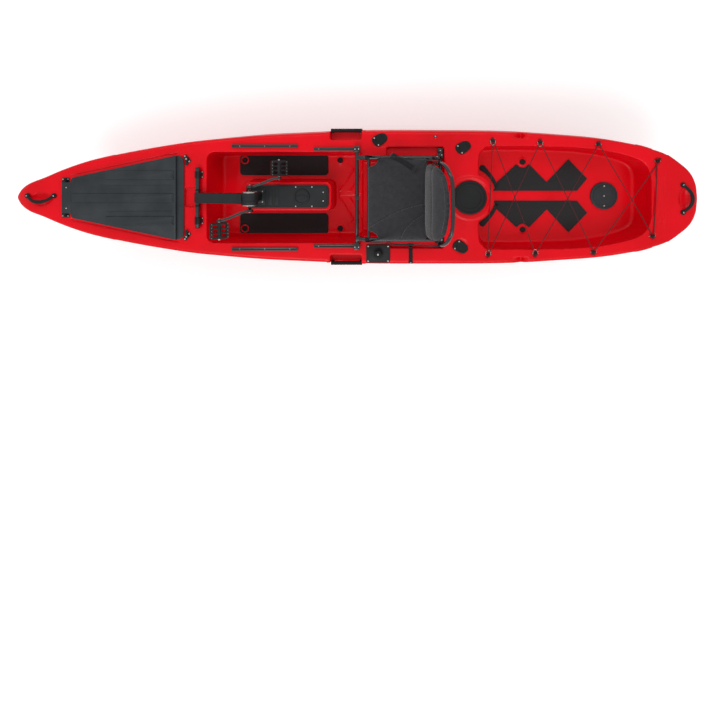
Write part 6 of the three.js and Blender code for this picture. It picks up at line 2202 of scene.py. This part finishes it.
def addCushion():
    base, thick, crown, inset = (cushion[key] for key in ("base", "thick", "crown", "inset"))
    rings = []
    front, back = cushion["front"] + inset, cushion["back"] - inset
    middle = base + (thick - crown) / 2
    for row in range(cushion["rows"] + 1):
        share = row / cushion["rows"]
        x = front + (back - front) * padShare(row, cushion["rows"])
        half = cushionHalf(x) - inset
        top, low = [], []
        for column in range(cushion["columns"] + 1):
            across = padAcross(column, cushion["columns"])
            edge = min(x - front, back - x, half * (1 - abs(across)))
            swell = padSwell(edge, cushion["round"])
            lift = crown * (1 - across ** 4) * sin(pi * min(max(share, 0.06), 0.94))
            top.append((x, half * across, middle + swell * (base + thick - crown + lift - middle)))
            low.append((x, half * across, middle - swell * (middle - base)))
        rings.append(top + low[::-1])
    pad = addLoft(rings)
    low = (cushion["front"], -cushion["half"], base)
    high = (cushion["back"], cushion["half"], base + thick)
    puff(pad, cushion["cap"], low, high)
    sewSeams(pad, cushion["seams"], 0.003, 0.0035)
    layCloth(pad, 0, 1)
    finishPiece(pad, "seatCushion", "seat", "seat_fabric", ("seat_pad",), angle=60)
    deep, wide = cushion["scoop"]
    hem = cushion["front"] + 0.011
    lines = [[(x, y - 0.0055, 0.45) for x, y in seam] for seam in cushion["seams"]]
    lines.append([(hem, y, 0.45) for y in (-0.186, -0.1, 0, 0.1, 0.186)])
    for sign in (1, -1):
        turns = [radians(8 + 74 * k / 6) for k in range(7)]
        lines.append(
            [
                (
                    cushion["front"] + (deep + 0.011) * cos(t),
                    sign * (cushion["half"] - (wide + 0.011) * sin(t)), 0.45
                ) for t in turns
            ]
        )
    addStitches("cushionStitches", "seat", pad, lines, (0, 0, -1))


# Backrest panel: a puffed pad across the fronts of the tubes
panel = {
    "half": 0.204, "bottom": 0.026, "top": 0.364, "thick": 0.024, "lean": 0.016, "clearance": 0.0015,
    "flat": 0.25, "bow": 0.026,
    "taper": 0.3, "edge": 0.4, "rows": 52, "columns": 60, "round": 0.011, "inset": 0.003, "cap": 0.005,
    "belly": ((0, 0.1), (0.1, 0.42), (0.25, 0.86), (0.4, 1), (0.6, 0.9), (0.8, 0.66), (1, 0.3)),
    "seams": (0.3, 0.72),
}


def panelPlaces(up, across):
    rise = panel["bottom"] + (panel["top"] - panel["bottom"]) * up
    line = smoothLine([Vector((a, 0, b)) for a, b in backrest["path"]], 12)
    x = float(np.interp(rise, [p.z for p in line], [p.x for p in line]))
    bulge = smoothLine([Vector((a, 0, b)) for a, b in panel["belly"]], 12)
    belly = float(np.interp(up, [p.x for p in bulge], [p.z for p in bulge])) * panel["lean"]
    x += backrest["x"] - backrest["tube"] - panel["clearance"] + panel["bow"] * up ** 3 * (1 - across ** 2)
    y = across * (panel["half"] - panel["inset"]) * (1 - panel["taper"] * up ** 8)
    front = x - belly * (1 - across ** 2 * panel["flat"])
    front -= panel["thick"] * (1 - across ** 6 * panel["edge"])
    back = x - belly * (1 - across ** 4) * panel["flat"]
    return front, back, y, backrest["pivot"] + rise


def addPanel():
    rings = []
    tall = panel["top"] - panel["bottom"]
    for row in range(panel["rows"] + 1):
        up = 0.01 + 0.98 * padShare(row, panel["rows"])
        front, back = [], []
        for column in range(panel["columns"] + 1):
            across = padAcross(column, panel["columns"])
            near, far, y, z = panelPlaces(up, across)
            edge = min(up * tall, (1 - up) * tall, panel["half"] * (1 - abs(across)))
            swell = padSwell(edge, panel["round"])
            middle = (near + far) / 2
            for seam in panel["seams"]:
                swell -= 0.2 * exp(-(((up - seam) * tall / 0.0045) ** 2))
            front.append((middle - swell * (middle - near), y, z))
            back.append((middle + swell * (far - middle), y, z))
        rings.append(front + back[::-1])
    pad = addLoft(rings)
    start = readPoints(pad.data)
    puff(pad, panel["cap"], start.min(axis=0) - 0.001, start.max(axis=0) + 0.001)
    layCloth(pad, 1, 2)
    finishPiece(pad, "backrestPanel", "backrest", "seat_fabric", ("backrest_panel",), angle=60)
    lines = []
    for seam in panel["seams"]:
        up = seam + 0.02
        lines.append(
            [
                (0.3, across * 0.19, backrest["pivot"] + panel["bottom"] + tall * up)
                for across in (-1, -0.5, 0, 0.5, 1)
            ]
        )
    lines.append(
        [(0.3, across * 0.17, backrest["pivot"] + panel["top"] - 0.009) for across in (-1, -0.5, 0, 0.5, 1)]
    )
    addStitches("panelStitches", "backrest", pad, lines, (1, 0, 0))


# Side straps with their buckles and loops
strap = {
    "width": 0.025, "thick": 0.0025, "top": (0.4725, 0.21825, 0.696), "foot": (0.078, 0.24725, 0.392),
    "buckle": 0.38, "tail": 0.11,
}


def addBand(route, width, thick, across):
    # a flat band with rounded edges along a route of places
    rings = []
    for i, place in enumerate(route):
        ahead = (route[min(i + 1, len(route) - 1)] - route[max(i - 1, 0)]).normalized()
        side = across(ahead)
        out = side.cross(ahead).normalized()
        ring = []
        for w, t in (
            (0.5, 0.2), (0.47, 0.5), (-0.47, 0.5), (-0.5, 0.2), (-0.5, -0.2), (-0.47, -0.5), (0.47, -0.5),
            (0.5, -0.2)
        ):
            ring.append(place + side * w * width + out * t * thick)
        rings.append(ring)
    return addLoft(rings)


def addStraps():
    for side, sign in bothSides:
        top = Vector(strap["top"]) * Vector((1, sign, 1))
        foot = Vector(strap["foot"]) * Vector((1, sign, 1))
        run = (foot - top).normalized()
        across = run.cross(Vector((0, 1, 0))).normalized()
        flat = lambda ahead: across
        route = [top.lerp(foot, k / 36) for k in range(37)]
        parts = [addBand(route, strap["width"], strap["thick"], flat)]
        middle = top.lerp(foot, strap["buckle"])
        outward = Vector((0, sign, 0))
        tail = [
            middle + run * (0.012 + strap["tail"] * k / 12) + outward * (0.0027 + 0.0012 * sin(pi * k / 12))
            for k in range(13)
        ]
        parts.append(addBand(tail, strap["width"] * 0.96, 0.002, flat))
        for shift, long, tall in ((-0.014, 0.005, 0.0085), (0.012, 0.006, 0.0085), (0, 0.006, 0.007)):
            centre = middle + run * shift
            bar = [centre - run * long / 2, centre + run * long / 2]
            parts.append(addBand(bar, 0.032, tall, flat))
        for edge in (-1, 1):
            place = middle + across * edge * 0.0145
            parts.append(addBand([place - run * 0.016, place + run * 0.016], 0.0032, 0.0085, flat))
        for end, inner in ((top, run), (foot, -run)):
            for gap in (0.014, 0.024):
                parts.append(
                    addBand(
                        [end + inner * gap, end + inner * (gap + 0.0012)], strap["width"] * 0.9,
                        strap["thick"] + 0.0006, flat
                    )
                )
        band = joinPieces(parts)
        layCloth(band, 0, 2)
        finishPiece(band, "seatStrap_" + side, None, "webbing", ("seat_strap_" + side,), angle=40)
        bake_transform(band)
        for body, axis, centre, inner in (
            ("seat", "x", (0.088, sign * 0.232, 0.3965), 0.0124),
            ("backrest", "z", (0.4775, sign * 0.205, 0.694), 0.0104)
        ):
            shift, place = (centre[0], centre[1:]) if axis == "x" else (centre[2], centre[:2])
            loop = addCylinder(axis, place, inner + 0.0022, about(shift, 0.0125), 40)
            combine(loop, [addCylinder(axis, place, inner, about(shift, 0.02), 40)])
            layCloth(loop, 0, 2)
            finishPiece(loop, "strapLoop_%s_%s" % (body, side), body, "webbing", angle=40)


def addTailStrap():
    # the adjusting strap's loose end lies on the starboard edge of the cushion
    rise = cushion["base"] + cushion["thick"]
    route = smoothLine([Vector(p) for p in (
        (0.222, 0.25, 0.413), (0.232, 0.2475, rise + 0.0005), (0.252, 0.236, rise + 0.0035),
        (0.3, 0.205, rise + 0.0032), (0.345, 0.174, rise + 0.0032),
    )], 8)
    side = Vector((0.55, 0.83, 0)).normalized()
    band = addBand(route, 0.028, 0.0022, lambda ahead: side)
    layCloth(band, 0, 1)
    finishPiece(band, "tailStrap", "seat", "webbing", angle=40)
    parts = []
    for share in (0.9, 1.0):
        place = Vector((0.345, 0.174, rise + 0.0055)).lerp(
            Vector((0.362, 0.162, rise + 0.0055)), (share - 0.9) * 10
        )
        ahead = Vector((0.83, -0.55, 0)).normalized()
        parts.append(
            addBand([place - ahead * 0.003, place + ahead * 0.003], 0.034, 0.0065, lambda way: side)
        )
    finishPiece(parts, "tailBuckle", "seat", "black_plastic", angle=40)


addCushion()
addPanel()
addStraps()
addTailStrap()
print("seat cloth ready")


# Small fittings: scupper plugs, mat arms, the gunwale strap and a deck eye
scupperPlugs = [
    (x, sign * y, cockpit["floor"] if x < 0 else tank["floor"])
    for x, y in scuppers["places"] for sign in (1, -1)
]
plugProfile = (
    (-0.02, 0), (-0.02, 0.0105), (fit, 0.0125), (fit, 0.0168), (0.003, 0.0175), (0.0052, 0.0165),
    (0.006, 0.0145), (0.0046, 0.0125), (0.0046, 0),
)
deckEye = {
    "x": 0.48, "y": 0.356,
    "profile": ((-0.002, 0), (-0.002, 0.0085), (0.002, 0.0085), (0.0034, 0.0062), (0.0034, 0)),
}


def addFittings():
    parts = []
    for x, y, level in scupperPlugs:
        parts.append(addTurned("z", (x, y, 0), [(level + rise, radius) for rise, radius in plugProfile], 40))
    finishPiece(parts, "scupperPlugs", "hull", "black_rubber", angle=35)
    for side, sign in bothSides:
        route = smoothLine([Vector((x, sign * y, 0)) for x, y in deckMat["arm"]], 6)
        low, high = deckMat["base"], deckMat["base"] + deckMat["thick"]
        outline = []
        count = len(route) - 1
        for way in (1, -1):
            for i in range(count + 1):
                k = i if way > 0 else count - i
                ahead = (route[min(k + 1, count)] - route[max(k - 1, 0)]).normalized()
                across = Vector((-ahead.y, ahead.x, 0)) * way
                wide = deckMat["armWidth"] / 2 * (1 + 0.75 * (k / count) ** 4)
                spot = route[k] + across * wide
                outline.append((spot.x, spot.y))
            if way > 0:
                tip, ahead = route[-1], (route[-1] - route[-2]).normalized()
                across = Vector((-ahead.y, ahead.x, 0))
                wide = deckMat["armWidth"] / 2 * 1.75
                for t in (pi * k / 8 for k in range(1, 8)):
                    spot = tip + ahead * wide * sin(t) + across * wide * cos(t)
                    outline.append((spot.x, spot.y))
        finishPiece(addPrism(outline, (low, high)), "deckMatArm_" + side, "hull", "foam_mat", bevel=0.0012)
    x, y, level = deckEye["x"], deckEye["y"], deckAt(deckEye["x"])
    eye = addTurned("z", (x, y, 0), [(level + rise, radius) for rise, radius in deckEye["profile"]], 32)
    finishPiece(eye, "deckEye", "hull", "black_plastic")
    addScrews("deckEyeScrew", "hull", [(x, y, level + deckEye["profile"][-1][0])], 0.0045)


gunwaleStrap = {"x": 0.337, "lift": 0.0016, "width": 0.023, "thick": 0.002, "end": -0.379, "plate": 0.013}


def addGunwaleStrap():
    x = gunwaleStrap["x"]
    level = deckAt(x) + gunwaleStrap["lift"]
    route = [
        Vector(p)
        for p in (
            (x, -0.288, ledge["floor"] + 0.002), (x, -0.2945, ledge["floor"] + 0.004),
            (x, -0.2955, level - 0.004), (x, -0.299, level), (x, -0.32, level), (x, -0.35, level),
            (x, -0.378, level)
        )
    ]
    along = Vector((1, 0, 0))
    band = addBand(smoothLine(route, 5), gunwaleStrap["width"], gunwaleStrap["thick"], lambda ahead: along)
    layCloth(band, 0, 1)
    finishPiece(band, "gunwaleStrap", "hull", "webbing", angle=40)
    top = level + 0.0028
    plate = chamferBlock(about(x, gunwaleStrap["plate"]), (-0.384, -0.374), (level - 0.0012, top), 0.0012)
    finishPiece(plate, "gunwaleStrapEnd", "hull", "black_plastic")
    addScrews("gunwaleStrapScrew", "hull", [(x, gunwaleStrap["end"], top)], 0.0034)


addFittings()
addGunwaleStrap()
print("small fittings ready")

bpy.data.objects.remove(screwHead)
